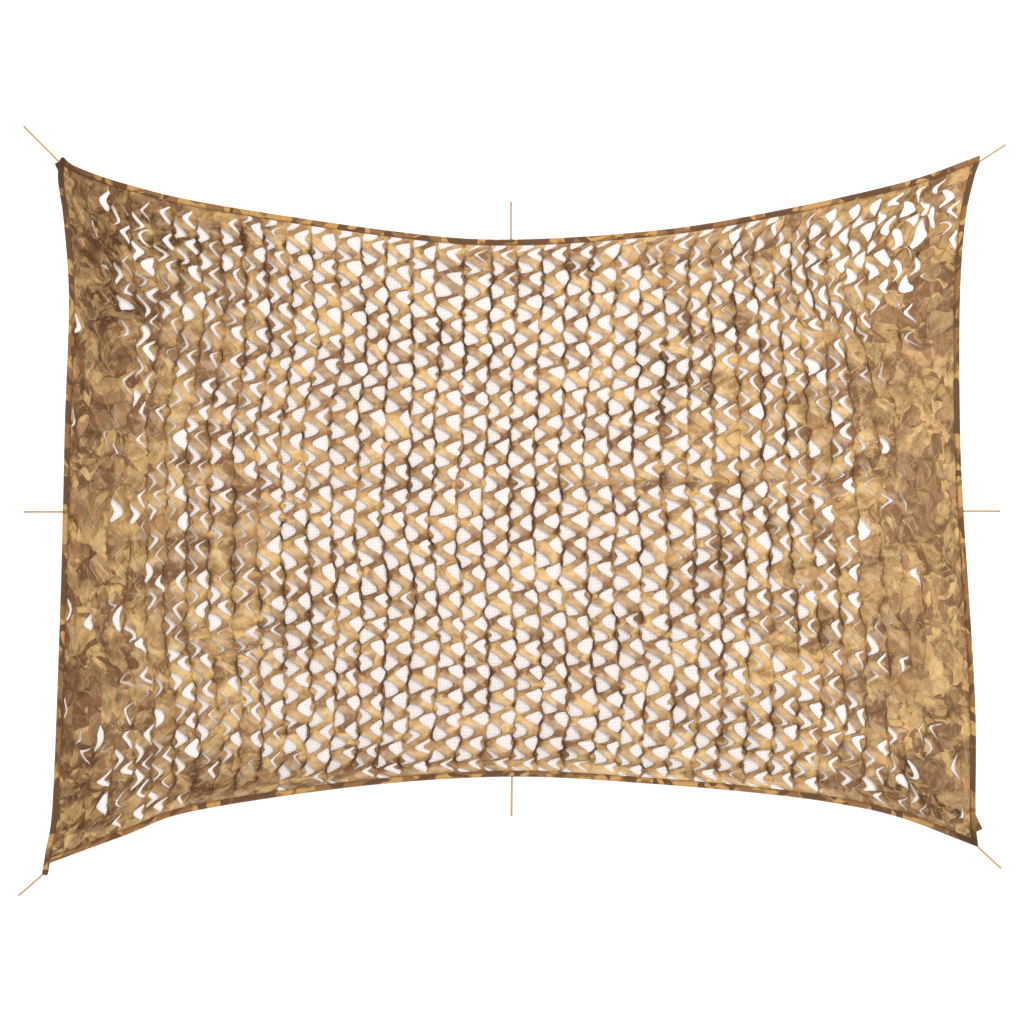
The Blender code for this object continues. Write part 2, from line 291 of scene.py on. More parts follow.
class Surface(Tree):
    """A tree that ends in one principled shader, with the textures that the finishes share."""

    FACET_BEND_SCALE = 9.0
    FACET_BEND = (0.09, 0.09, 0.0)

    def __init__(self, name: str) -> None:
        """Makes a material of this name with its output and its shader."""
        self.material = bpy.data.materials.new(name)
        self.material.use_nodes = True
        super().__init__(self.material.node_tree)
        self.shader = self.add("ShaderNodeBsdfPrincipled")
        output = self.add("ShaderNodeOutputMaterial")
        self.links.new(self.shader.outputs[0], output.inputs["Surface"])

    def cloth_place(self) -> Wave:
        """The cloth's own flat coordinates, in metres."""
        return self.wave(self.add("ShaderNodeUVMap", {"uv_map": "cloth"}).outputs[0])

    def object_place(self) -> Wave:
        """The piece's own coordinates, in metres."""
        return self.wave(self.add("ShaderNodeTexCoord").outputs["Object"])

    def attribute(self, name: str) -> Wave:
        """A number that the mesh holds at each point."""
        settings = {"attribute_type": "GEOMETRY", "attribute_name": name}
        return self.wave(self.add("ShaderNodeAttribute", settings).outputs["Fac"])

    def split(self, vector: Wave) -> tuple[Wave, Wave, Wave]:
        """The three parts of a vector."""
        parts = self.add("ShaderNodeSeparateXYZ", in_0=vector)
        return tuple(self.wave(output) for output in parts.outputs)

    def joined(self, along: Wave, across: Wave) -> Wave:
        """A flat vector of two parts."""
        return self.wave(self.add("ShaderNodeCombineXYZ", X=along, Y=across).outputs[0])

    def shifted(self, place: Wave, moved: Pair = (0.0, 0.0), stretch: Pair = (1.0, 1.0)) -> Wave:
        """A place that is stretched and then moved."""
        node = self.add(
            "ShaderNodeMapping", Vector=place, Location=(*moved, 0.0), Scale=(*stretch, 1.0)
        )
        return self.wave(node.outputs[0])

    def clouds(self, place: Wave, layer: Clouds) -> Wave:
        """A layer of cloudy noise at a place, around 0.5.

        Args:
            place: Where on the piece.
            layer: The layer.

        Returns:
            The noise.
        """
        node = self.add(
            "ShaderNodeTexNoise",
            {"noise_dimensions": "3D"},
            Vector=self.shifted(place, layer.moved, layer.stretch),
            Scale=layer.scale,
            Detail=layer.detail,
            Distortion=layer.curl,
        )
        return self.wave(node.outputs["Fac"])

    def faded(self, place: Wave, layer: Clouds) -> Wave:
        """A layer of cloudy noise, from 0 to 1 between the values of its fade."""
        return self.clouds(place, layer).between(*layer.fade)

    def facets(self, place: Wave, scale: float) -> tuple[Wave, Wave, Wave]:
        """Crumpled facets over a plane.

        Args:
            place: A place on the plane.
            scale: How many facets lie in a metre.

        Returns:
            The distance from each facet's middle, the distance from its nearest edge, and a
            number of its own from 0 to 1.
        """
        warped = self.add(
            "ShaderNodeTexNoise",
            {"noise_dimensions": "3D"},
            Vector=place,
            Scale=self.FACET_BEND_SCALE,
            Detail=1.0,
        )
        bent = self.add(
            "ShaderNodeVectorMath",
            {"operation": "MULTIPLY_ADD"},
            in_0=self.wave(warped.outputs["Color"]),
            in_1=self.FACET_BEND,
            in_2=place,
        )
        middles, edges = (
            self.add(
                "ShaderNodeTexVoronoi",
                {"voronoi_dimensions": "2D", "feature": feature},
                Vector=self.wave(bent.outputs[0]),
                Scale=scale,
            )
            for feature in ("F1", "DISTANCE_TO_EDGE")
        )
        tone, _, _ = self.split(self.wave(middles.outputs["Color"]))
        return self.wave(middles.outputs["Distance"]), self.wave(edges.outputs["Distance"]), tone

    def mix(self, share: Any, first: Any, second: Any) -> Wave:
        """The first colour at a share of 0, and the second at a share of 1."""
        node = self.add("ShaderNodeMix", {"data_type": "RGBA", "clamp_factor": True})
        for socket, value in zip((0, 6, 7), (share, first, second)):
            self.feed(node.inputs[socket], value)
        return self.wave(node.outputs[2])

    def layered(self, colour: Any, *layers: tuple[Wave, Any]) -> Wave:
        """A colour under others, each with its share, from the lowest to the highest."""
        for share, over in layers:
            colour = self.mix(share, colour, over)
        return colour

    def bump(self, height: Wave, strength: float, distance: float) -> None:
        """Feeds a height to the shader's normal."""
        node = self.add("ShaderNodeBump", Height=height, Strength=strength, Distance=distance)
        self.feed(self.shader.inputs["Normal"], self.wave(node.outputs[0]))

    def sheen(
        self, colour: Wave, grain: Wave, roughness: float, spread: float = 0.2, specular: float = 0.3
    ) -> None:
        """Feeds the shader its colour and sheen.

        Args:
            colour: The colour.
            grain: What the roughness varies with, around 0.5.
            roughness: The usual roughness.
            spread: How much it varies.
            specular: The level of the highlights.
        """
        self.feed(self.shader.inputs["Base Color"], colour)
        self.feed(self.shader.inputs["Roughness"], grain * spread + (roughness - spread / 2))
        self.feed(self.shader.inputs["Specular IOR Level"], specular)


@dataclass(frozen=True)
class Finish:
    """A finish that several pieces can share, with the name of its material."""

    name: str

    def build(self) -> bpy.types.Material:
        """Makes the material.

        Returns:
            The finished material.
        """
        surface = Surface(self.name)
        self.dress(surface)
        return surface.material

    def dress(self, surface: Surface) -> None:
        """Gives the surface its colour, sheen and relief."""
        raise NotImplementedError


@dataclass(frozen=True)
class CamouflageFinish(Finish):
    """Three-colour desert camouflage on cloth.

    The base shows between brown and golden patches, whose edges curl. Folds, strands and cut edges
    carry painted shade, cut edges also painted highlights, the band legs painted light and shade by
    the way they lean, and the bunched ends are creased into facets with painted light and shade.
    """

    middle: float
    base: Colour = dyed(190, 147, 97)
    brown: Colour = dyed(147, 107, 74)
    brown_at_ends: Colour = dyed(131, 89, 57)
    gold: Colour = dyed(221, 180, 117)
    # The deep brown is worn patches and speckles, and also painted shade in folds, creases and strands
    # and painted shadow along cut edges.
    deep: Colour = dyed(84, 54, 30)
    # The pale colour is the streaks, and also painted light on the band legs and painted highlights on
    # cut edges.
    pale: Colour = dyed(240, 218, 182)
    # The light colour is light mottles, and also painted light on crumpled facets.
    light: Colour = dyed(226, 190, 134)
    brown_patches: Clouds = Clouds(5.2, 2.5, 1.0, (3.1, 1.7), (1.0, 0.85))
    gold_patches: Clouds = Clouds(5.98, 2.5, 1.0, (-5.3, 8.2), (0.9, 1.1))
    fine_patches: Clouds = Clouds(9.5, 1.0, 0.8, (6.4, 2.9), (1.2, 0.8), (0.535, 0.550))
    brown_share: float = 0.545
    gold_share: float = 0.54
    fine_share: float = 0.62
    patch_edge: float = 0.016
    ends: Pair = (1.45, 2.35)
    right_end_share: float = 0.25
    right_end_gold: float = 0.035
    ends_browner: float = 0.045
    worn: Clouds = Clouds(26.0, 4.0, fade=(0.42, 0.75))
    worn_share: float = 0.16
    worn_more_at_ends: float = 0.25
    streaks: Clouds = Clouds(18.0, 3.0, 0.0, (4.0, 2.0), (1.8, 0.9), (0.46, 0.80))
    streak_share: float = 0.36
    streaks_less_at_ends: float = 0.20
    gather_from: float = 1.5
    gather: float = 0.27
    broken: float = 0.20
    crumpled_least: float = 0.2
    crease_scale: float = 12.0
    crease_stretch: Pair = (1.15, 0.85)
    crease_depth: float = 0.020
    crease_shade: float = 0.30
    crease_reach: Pair = (0.15, 0.75)
    facet_scale: float = 19.0
    facet_moved: Pair = (4.0, 7.0)
    facet_painted_shade: float = 0.32
    facet_painted_light: float = 0.36
    facet_edge_depth: float = 0.006
    leg_shade: float = 0.33
    leg_painted_light: float = 0.28
    fold_shade: float = 1.25
    blotches: Clouds = Clouds(24.0, 2.0, 0.0, (9.0, 1.0), fade=(0.47, 0.52))
    blotch: float = 0.65
    speckles: Clouds = Clouds(170.0, 2.0, 0.0, (1.0, 6.0), fade=(0.42, 0.68))
    speckle: float = 0.14
    mottles: Clouds = Clouds(32.0, 1.0, 0.0, (8.0, 3.0), fade=(0.53, 0.62))
    mottle: float = 0.26
    mottle_less_at_ends: float = 0.6
    ragged: Clouds = Clouds(52.0, 3.0)
    rim: Pair = (0.0022, 0.0062)
    rim_ragged: float = 0.006
    spine: Pair = (-0.0068, 0.0220)
    spine_edge: Pair = (-0.0008, 0.0012)
    fibres: Clouds = Clouds(60.0, 3.0)
    fibre_depth: float = 0.0006
    threads: float = 900.0
    thread_depth: float = 0.00015
    roughness: float = 0.86
    roughness_spread: float = 0.16
    specular: float = 0.25

    def printed(self, surface: Surface, place: Wave, left_end: Wave, right_end: Wave) -> Wave:
        """The printed and worn pattern.

        Args:
            surface: The tree.
            place: Flat place on the cloth.
            left_end: 1 at the bunched left end and 0 in the middle.
            right_end: The same for the right end, which is less worn.

        Returns:
            The colour before its folds.
        """
        worn_end = left_end + right_end * self.right_end_share
        brown = surface.clouds(place, self.brown_patches) + worn_end * self.ends_browner
        gold = surface.clouds(place, self.gold_patches) + right_end * self.right_end_gold
        fine = surface.clouds(place, self.fine_patches)
        fine_share = (left_end + right_end) * self.fine_share
        edge = (-self.patch_edge, self.patch_edge)
        brown_here = surface.mix(worn_end, self.brown, self.brown_at_ends)
        worn = worn_end * self.worn_more_at_ends + self.worn_share
        streaks = self.streak_share - worn_end * self.streaks_less_at_ends
        return surface.layered(
            self.base,
            ((gold - self.gold_share).between(*edge), self.gold),
            (fine.between(*self.fine_patches.fade) * fine_share, self.gold),
            ((brown - self.brown_share).between(*edge), brown_here),
            ((1.0 - fine).between(*self.fine_patches.fade) * fine_share, brown_here),
            (surface.faded(place, self.worn) * worn, self.deep),
            (surface.faded(place, self.streaks) * streaks, self.pale),
        )

    def gathered(self, surface: Surface, place: Wave) -> Wave:
        """The cloth's place with less of it at both ends, where bunching hides a share of it.

        Args:
            surface: The tree.
            place: Flat place on the cloth.

        Returns:
            The place that shows.
        """
        along, across, _ = surface.split(place)
        moved = along
        for past, way in ((self.middle - along, 1.0), (along - self.middle, -1.0)):
            past = past - self.gather_from
            past = past * past.over(0.0)
            moved = moved + past * past * (way * self.gather)
        return surface.joined(moved, across)

    def dress(self, surface: Surface) -> None:
        """Lays the print, folds and cut edges over each other, and gives the cloth its relief."""
        place = surface.cloth_place()
        along, across, _ = surface.split(place)
        left_end = (self.middle - along).between(*self.ends)
        right_end = (along - self.middle).between(*self.ends)
        at_ends = left_end + right_end
        crumpled = at_ends * (1.0 - self.crumpled_least) + self.crumpled_least
        gathered = self.gathered(surface, place)
        creases, _, coarse = surface.facets(
            surface.shifted(gathered, stretch=self.crease_stretch), self.crease_scale
        )
        _, edges, tone = surface.facets(
            surface.shifted(gathered, self.facet_moved, self.crease_stretch), self.facet_scale
        )
        skipped = at_ends * self.broken
        shown_place = surface.add(
            "ShaderNodeVectorMath",
            {"operation": "ADD"},
            in_0=gathered,
            in_1=surface.joined((coarse - 0.5) * skipped, (tone - 0.5) * skipped),
        )
        colour = self.printed(surface, surface.wave(shown_place.outputs[0]), left_end, right_end)
        worn_end = left_end + right_end * self.right_end_share
        lean = surface.attribute("lean")
        blotches = (1.0 - surface.clouds(gathered, self.blotches)).between(*self.blotches.fade)
        # The painted shade of the folds, broken up by blotches at the ends.
        fold_shade = (1.0 - blotches * at_ends * self.blotch) * self.fold_shade
        mottle = surface.clouds(place, self.mottles)
        mottled = (1.0 - at_ends * self.mottle_less_at_ends) * self.mottle
        ragged = surface.clouds(place, self.ragged)
        spine = ragged * self.spine[1] + self.spine[0] - surface.attribute("spine")
        into_cloth = surface.attribute("rim") + (ragged - 0.5) * self.rim_ragged
        rim = 1.0 - into_cloth.between(*self.rim)
        colour = surface.layered(
            colour,
            # Painted shade in the creases between crumpled facets, most at the left end.
            (creases.between(*self.crease_reach) * worn_end * self.crease_shade, self.deep),
            # Painted shade and painted light over each crumpled facet, by a tone of its own.
            ((1.0 - tone).upper_half() * crumpled * self.facet_painted_shade, self.deep),
            (tone.upper_half() * crumpled * self.facet_painted_light, self.light),
            # Painted shade and painted light on the band legs, by which way each leans.
            (lean.upper_half() * self.leg_shade, self.deep),
            ((1.0 - lean).upper_half() * self.leg_painted_light, self.pale),
            # Painted shade in folds, knots, strands and corner creases, painted shadow under the hem,
            # and darker patches at the ends and corners.
            (surface.attribute("fold") * fold_shade, self.deep),
            (surface.faded(place, self.speckles) * self.speckle, self.deep),
            (mottle.between(*self.mottles.fade) * mottled, self.light),
            ((1.0 - mottle).between(*self.mottles.fade) * mottled, self.brown),
            # Painted shade along each strand, where it turns edge-on.
            (spine.between(*self.spine_edge) * surface.attribute("turn"), self.deep),
            # Painted shadow along the cut edges.
            (rim * surface.attribute("dark"), self.deep),
            # Painted highlights where cut edges catch the light.
            (rim * surface.attribute("catch"), self.pale),
        )
        fibre = surface.clouds(place, self.fibres)
        warp, weft = ((way * (math.pi * self.threads)).sine().absolute() for way in (along, across))
        relief = creases * crumpled * self.crease_depth + edges * crumpled * self.facet_edge_depth
        surface.bump(warp * weft * self.thread_depth + relief + fibre * self.fibre_depth, 1.0, 1.0)
        surface.sheen(colour, fibre, self.roughness, self.roughness_spread, self.specular)


@dataclass(frozen=True)
class WebbingFinish(Finish):
    """Ribbed webbing printed with the same camouflage at a smaller size."""

    base: Colour = dyed(148, 106, 64)
    brown: Colour = dyed(104, 72, 46)
    gold: Colour = dyed(198, 152, 90)
    deep: Colour = dyed(72, 46, 26)
    brown_patches: Clouds = Clouds(8.5, 0.6, 0.8, (2.3, 0.4), (1.4, 1.8), (0.51, 0.54))
    gold_patches: Clouds = Clouds(8.5, 0.6, 0.8, (-7.1, 1.9), (1.4, 1.8), (0.51, 0.54))
    worn: Clouds = Clouds(60.0, 4.0, fade=(0.4, 0.8))
    worn_share: float = 0.3
    worn_height: float = 0.5
    ribs: float = 420.0
    rib_waves: float = 600.0
    rib_wave: float = 1.2
    rib_strength: float = 0.5
    rib_depth: float = 0.0008
    roughness: float = 0.8

    def dress(self, surface: Surface) -> None:
        """Prints the webbing, and gives it its ribs."""
        place = surface.cloth_place()
        along, across, _ = surface.split(place)
        worn = surface.clouds(place, self.worn)
        colour = surface.layered(
            self.base,
            (surface.faded(place, self.gold_patches), self.gold),
            (surface.faded(place, self.brown_patches), self.brown),
            (worn.between(*self.worn.fade) * self.worn_share, self.deep),
            # Painted shadow along the inner edge, and darker near two corners.
            (surface.attribute("fold"), self.deep),
        )
        waves = (across * (math.pi * self.rib_waves)).sine() * self.rib_wave
        ribs = (along * (math.pi * self.ribs) + waves).sine().absolute()
        surface.bump(ribs + worn * self.worn_height, self.rib_strength, self.rib_depth)
        surface.sheen(colour, worn, self.roughness)


@dataclass(frozen=True)
class ThreadFinish(Finish):
    """Plain spun thread: a colour with fine variation along it."""

    colour: Colour
    shaded: Colour
    fibres: Clouds = Clouds(140.0, 3.0, fade=(0.35, 0.7))
    fibre_strength: float = 0.3
    fibre_depth: float = 0.0004
    roughness: float = 0.75

    def dress(self, surface: Surface) -> None:
        """Gives the thread its fibres."""
        fibre = surface.clouds(surface.object_place(), self.fibres)
        colour = surface.mix(fibre.between(*self.fibres.fade), self.colour, self.shaded)
        surface.bump(fibre, self.fibre_strength, self.fibre_depth)
        surface.sheen(colour, fibre, self.roughness)


@dataclass(frozen=True)
class CordFinish(Finish):
    """Laid cord: fine yarns that follow the lay, painted shade in its grooves, and a darker sealed
    tip.
    """

    colour: Colour = dyed(206, 174, 128)
    # The shaded colour is for darker fibres, and for the painted shade in the grooves.
    shaded: Colour = dyed(156, 122, 82)
    tip: Colour = dyed(146, 110, 70)
    yarns: float = 9.0
    yarn_turns: float = 260.0
    yarn_strength: float = 0.4
    yarn_depth: float = 0.0004
    fibres: Clouds = Clouds(420.0, 3.0, fade=(0.3, 0.75))
    fibre_share: float = 0.6
    groove_shade: float = 0.8
    roughness: float = 0.7

    def dress(self, surface: Surface) -> None:
        """Gives the cord its yarns and its sealed tip."""
        along, round_it, _ = surface.split(surface.cloth_place())
        turns = along * self.yarn_turns + round_it * (2 * math.pi * self.yarns)
        yarns = (turns.sine() + 1.0) * 0.5
        fibre = surface.clouds(surface.object_place(), self.fibres)
        colour = surface.layered(
            self.colour,
            (fibre.between(*self.fibres.fade) * self.fibre_share, self.shaded),
            # Painted shade in the grooves between the strands.
            (surface.attribute("fold") * self.groove_shade, self.shaded),
            (surface.attribute("catch"), self.tip),
        )
        surface.bump(yarns + fibre * self.fibre_share, self.yarn_strength, self.yarn_depth)
        surface.sheen(colour, fibre, self.roughness)


@dataclass(frozen=True)
class FloorFinish(Finish):
    """The plain pale floor.

    It glows a little, so that it shows pale through the gaps: less under the net's open middle,
    where more of the lamps' light reaches it, than under the bunched ends.
    """

    colour: Colour = (0.93, 0.93, 0.93, 1.0)
    black: Colour = (0.0, 0.0, 0.0, 1.0)
    glow: float = 0.24
    middle_share: float = 0.32
    ends: Pair = (1.0, 1.7)
    sides: Pair = (1.8, 3.0)
    roughness: float = 0.95
    specular: float = 0.1

    def dress(self, surface: Surface) -> None:
        """Gives the floor its glow."""
        along, across, _ = surface.split(surface.object_place())
        open_along, open_across = (
            1.0 - place.absolute().between(*reach)
            for place, reach in ((along, self.ends), (across, self.sides))
        )
        share = 1.0 - open_along * open_across * (1.0 - self.middle_share)
        for socket, value in {
            "Base Color": self.colour,
            "Emission Color": surface.mix(share, self.black, self.colour),
            "Emission Strength": self.glow,
            "Roughness": self.roughness,
            "Specular IOR Level": self.specular,
        }.items():
            surface.feed(surface.shader.inputs[socket], value)


# --- Shape helpers -----------------------------------------------------------------------------


class Recipe(Tree):
    """A geometry node tree with named sizes, which ends in real instances and a material."""

    def __init__(self, name: str, sizes: dict[str, float | int], material: bpy.types.Material) -> None:
        """Makes the tree with its sockets.

        Args:
            name: The tree's name.
            sizes: Each named size and its value.
            material: The finish of what it makes.
        """
        self.name = name
        self.group = bpy.data.node_groups.new(name, "GeometryNodeTree")
        super().__init__(self.group)
        self.sizes = sizes
        self.finish = material
        face = self.group.interface
        face.new_socket("Geometry", in_out="INPUT", socket_type="NodeSocketGeometry")
        self.keys = {}
        for size, value in sizes.items():
            kind = "NodeSocketInt" if isinstance(value, int) else "NodeSocketFloat"
            self.keys[size] = face.new_socket(size, in_out="INPUT", socket_type=kind).identifier
        face.new_socket("Geometry", in_out="OUTPUT", socket_type="NodeSocketGeometry")
        self.source = self.nodes.new("NodeGroupInput")
        self.geometry = self.wave(self.source.outputs["Geometry"])

    def size(self, name: str) -> Wave:
        """A named size as a Wave."""
        return self.wave(self.source.outputs[name])

    def shape(self, kind: str, settings: dict[str, Any] | None = None, **values: Any) -> Wave:
        """Adds a node, and gives its first output as a Wave."""
        return self.wave(self.add(kind, settings, **values).outputs[0])

    def made(self, geometry: Wave, base: bpy.types.Mesh | None = None) -> bpy.types.Mesh:
        """Ends the tree and runs it.

        Args:
            geometry: What the tree makes.
            base: The mesh that it starts from, where it needs one.

        Returns:
            The result as a plain mesh.
        """
        real = self.shape("GeometryNodeRealizeInstances", in_0=geometry)
        dressed = self.shape("GeometryNodeSetMaterial", in_0=real, Material=self.finish)
        result = self.nodes.new("NodeGroupOutput")
        self.links.new(dressed.socket, result.inputs[0])
        holder = bpy.data.objects.new(self.name, base or bpy.data.meshes.new(self.name))
        bpy.context.scene.collection.objects.link(holder)
        modifier = holder.modifiers.new(self.name, "NODES")
        modifier.node_group = self.group
        for size, value in self.sizes.items():
            modifier[self.keys[size]] = value
        graph = bpy.context.evaluated_depsgraph_get()
        mesh = bpy.data.meshes.new_from_object(holder.evaluated_get(graph), depsgraph=graph)
        bpy.data.objects.remove(holder, do_unlink=True)
        return mesh


def points_of(mesh: bpy.types.Mesh) -> np.ndarray:
    """The mesh's points as rows of x, y and z."""
    flat = np.zeros(len(mesh.vertices) * 3)
    mesh.vertices.foreach_get("co", flat)
    return flat.reshape(-1, 3)


def set_points(mesh: bpy.types.Mesh, points: np.ndarray) -> None:
    """Moves the mesh's points."""
    mesh.vertices.foreach_set("co", points.astype(np.float32).ravel())
    mesh.update()


def set_cloth_place(mesh: bpy.types.Mesh, flat: np.ndarray) -> None:
    """Gives each corner the flat place of its point on the cloth."""
    layer = mesh.uv_layers.get("cloth") or mesh.uv_layers.new(name="cloth")
    corners = np.zeros(len(mesh.loops), np.int32)
    mesh.loops.foreach_get("vertex_index", corners)
    layer.data.foreach_set("uv", flat[corners].astype(np.float32).ravel())


def set_shades(mesh: bpy.types.Mesh, **shades: np.ndarray) -> None:
    """Gives each point its named shades."""
    for name, values in shades.items():
        attribute = mesh.attributes.get(name) or mesh.attributes.new(name, "FLOAT", "POINT")
        attribute.data.foreach_set("value", np.clip(values, 0.0, 1.0).astype(np.float32))


def lofted(rings: np.ndarray) -> tuple[np.ndarray, list[tuple[int, ...]]]:
    """Points and faces of closed sections joined end to end, with both ends filled.

    Args:
        rings: Sections by points by x, y and z.

    Returns:
        The points as rows, and the faces.
    """
    count, sides = rings.shape[:2]
    faces: list[tuple[int, ...]] = []
    for ring in range(count - 1):
        start, end = ring * sides, (ring + 1) * sides
        for side in range(sides):
            after = (side + 1) % sides
            faces.append((start + side, start + after, end + after, end + side))
    faces.append(tuple(range(sides))[::-1])
    faces.append(tuple((count - 1) * sides + side for side in range(sides)))
    return rings.reshape(-1, 3), faces


def new_mesh(
    name: str, points: np.ndarray, faces: Sequence[Sequence[int]], material: bpy.types.Material
) -> bpy.types.Mesh:
    """A smooth mesh of these points and faces.

    Args:
        name: The mesh's name.
        points: Rows of x, y and z.
        faces: Point numbers of each face.
        material: Its finish.

    Returns:
        The mesh.
    """
    mesh = bpy.data.meshes.new(name)
    mesh.from_pydata(points.tolist(), [], faces)
    mesh.materials.append(material)
    mesh.polygons.foreach_set("use_smooth", [True] * len(mesh.polygons))
    mesh.update()
    return mesh


def shown(name: str, mesh: bpy.types.Mesh, slot: str, *nodes: str) -> bpy.types.Object:
    """Shows a mesh as a piece that rides with the net.

    Args:
        name: The piece's name.
        mesh: Its mesh, in place.
        slot: A material slot's name; not used.
        nodes: The solids that it stands for.

    Returns:
        The piece.
    """
    mesh.name = name
    piece = bpy.data.objects.new(name, mesh)
    bpy.context.scene.collection.objects.link(piece)
    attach(piece, BODY)
    if nodes:
        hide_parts(*nodes)
    log.info("%s: %d faces", name, len(mesh.polygons))
    return piece


def face_out(mesh: bpy.types.Mesh) -> None:
    """Turns a closed mesh's faces outwards where they point in.

    Args:
        mesh: The closed mesh.
    """
    points = points_of(mesh)
    volume = 0.0
    for polygon in mesh.polygons:
        corners = points[list(polygon.vertices)]
        for second, third in zip(corners[1:], corners[2:]):
            volume += float(np.dot(corners[0], np.cross(second, third)))
    if volume < 0:
        mesh.flip_normals()


def path_mesh(name: str, lines: Sequence[np.ndarray]) -> bpy.types.Mesh:
    """A mesh of edges alone, which join each line's points in turn.

    Args:
        name: The mesh's name.
        lines: Rows of x, y and z for each line.

    Returns:
        The mesh.
    """
    edges: list[np.ndarray] = []
    first = 0
    for line in lines:
        index = first + np.arange(len(line))
        edges.append(np.column_stack([index[:-1], index[1:]]))
        first += len(line)
    mesh = bpy.data.meshes.new(name)
    mesh.from_pydata(np.concatenate(lines).tolist(), np.concatenate(edges).tolist(), [])
    return mesh


@dataclass
class Drift:
    """Smooth seeded wandering over a plane."""

    seed: int
    cell: Pair
    size: int = 64
    start: Pair = (7.3, 3.9)

    def __post_init__(self) -> None:
        """Draws the wandering's values."""
        self.values = np.random.default_rng(self.seed).uniform(-1, 1, (self.size, self.size))

    def at(self, x: np.ndarray, y: np.ndarray) -> np.ndarray:
        """The wandering at these places, from -1 to 1.

        Args:
            x: Places along the first way.
            y: Places along the second.

        Returns:
            The values there.
        """
        across, up = x / self.cell[0] + self.start[0], y / self.cell[1] + self.start[1]
        left, low = np.floor(across).astype(int), np.floor(up).astype(int)
        share_x, share_y = across - left, up - low
        share_x = share_x * share_x * (3 - 2 * share_x)
        share_y = share_y * share_y * (3 - 2 * share_y)
        sides = []
        for row in (low, low + 1):
            first, second = self.value(left, row), self.value(left + 1, row)
            sides.append(first * (1 - share_x) + second * share_x)
        return sides[0] * (1 - share_y) + sides[1] * share_y

    def value(self, column: np.ndarray, row: np.ndarray) -> np.ndarray:
        """The drawn values at these corners of the cells."""
        return self.values[column % self.size, row % self.size]


class Rail:
    """One guyed edge of the net in plan, read by distance along it and inwards from it."""

    RUN_ON = 0.060
    REACH = 0.004
    SAMPLES = 12
    CROSSING_STEPS = 6
    INWARD_RIGHT = ("top", "right")

    def __init__(self, name: str) -> None:
        """Draws the edge through its knots.

        Args:
            name: Which edge.
        """
        knots = [Vector((x, y, 0.0)) for x, y in EDGES[name]]
        first, last = knots[1] - knots[0], knots[-1] - knots[-2]
        inner = [(after - before) / 2 for before, after in zip(knots, knots[2:])]
        slopes = [first, *inner, last]
        path = [knots[0] - first.normalized() * self.RUN_ON]
        for near, far, leaves, meets in zip(knots, knots[1:], slopes, slopes[1:]):
            bends = (near + leaves / 3, far - meets / 3)
            path += interpolate_bezier(near, *bends, far, self.SAMPLES)[:-1]
        path += [knots[-1], knots[-1] + last.normalized() * self.RUN_ON]
        self.points = np.array([point[:2] for point in path])
        steps = np.linalg.norm(np.diff(self.points, axis=0), axis=1)
        self.distances = np.concatenate([[0.0], np.cumsum(steps)]) - self.RUN_ON
        self.length = float(self.distances[-1]) - self.RUN_ON
        self.side = 1 if name in self.INWARD_RIGHT else -1

    def place(self, distance: np.ndarray | float) -> np.ndarray:
        """Plan points at these distances along the edge."""
        parts = [np.interp(distance, self.distances, self.points[:, axis]) for axis in (0, 1)]
        return np.stack(parts, axis=-1)

    def way(self, distance: np.ndarray | float) -> np.ndarray:
        """The edge's direction there."""
        ahead = np.asarray(distance, float)
        run = self.place(ahead + self.REACH) - self.place(ahead - self.REACH)
        return run / np.linalg.norm(run, axis=-1, keepdims=True)

    def at(self, distance: np.ndarray | float, inset: np.ndarray | float = 0.0) -> np.ndarray:
        """Plan points this far along the edge and this far inside it."""
        way = self.way(distance)
        inward = np.stack([way[..., 1], -way[..., 0]], axis=-1)
        return self.place(distance) + self.side * np.asarray(inset)[..., None] * inward

    def crossing(self, inset: float, other: "Rail", other_inset: float) -> float:
        """Distance along this edge at which its inset line crosses the other's.

        Args:
            inset: How far inside this edge the line runs.
            other: The other edge.
            other_inset: How far inside that one its line runs.

        Returns:
            The distance, refined from their nearest ends.
        """
        ends = [(here, there) for here in (0.0, self.length) for there in (0.0, other.length)]
        here, there = min(
            ends, key=lambda pair: float(np.linalg.norm(self.place(pair[0]) - other.place(pair[1])))
        )
        for _ in range(self.CROSSING_STEPS):
            gap = other.at(there, other_inset) - self.at(here, inset)
            way, other_way = self.way(here), other.way(there)
            turn = way[0] * other_way[1] - way[1] * other_way[0]
            here += float(gap[0] * other_way[1] - gap[1] * other_way[0]) / turn
            there += float(gap[0] * way[1] - gap[1] * way[0]) / turn
        return here


class Patch:
    """Plan places inside the four edges, by share across and share up."""

    def __init__(self, rails: dict[str, Rail]) -> None:
        """Finds where the four edges cross.

        Args:
            rails: The net's edges.
        """
        self.rails = rails
        ends = {
            "top": ("left", "right"),
            "bottom": ("left", "right"),
            "left": ("bottom", "top"),
            "right": ("bottom", "top"),
        }
        self.spans = {
            name: [rails[name].crossing(0.0, rails[other], 0.0) for other in pair]
            for name, pair in ends.items()
        }

    def on_edge(self, name: str, share: np.ndarray | float) -> np.ndarray:
        """Places on the named edge, by share of its span."""
        near, far = self.spans[name]
        return self.rails[name].place(near + np.asarray(share) * (far - near))

    def at(self, across: np.ndarray, up: np.ndarray) -> np.ndarray:
        """Plan places in the row frame.

        Args:
            across: Shares from the left edge to the right one.
            up: Shares from the bottom edge to the top one.

        Returns:
            Rows of x and y.
        """
        right, high = across[..., None], up[..., None]
        place = (1 - high) * self.on_edge("bottom", across) + high * self.on_edge("top", across)
        place += (1 - right) * self.on_edge("left", up) + right * self.on_edge("right", up)
        for name, side in (("bottom", 1 - high), ("top", high)):
            start, end = self.on_edge(name, 0.0), self.on_edge(name, 1.0)
            place -= side * ((1 - right) * start + right * end)
        return place + np.array(NET_CENTRE)


# --- The garnish -------------------------------------------------------------------------------


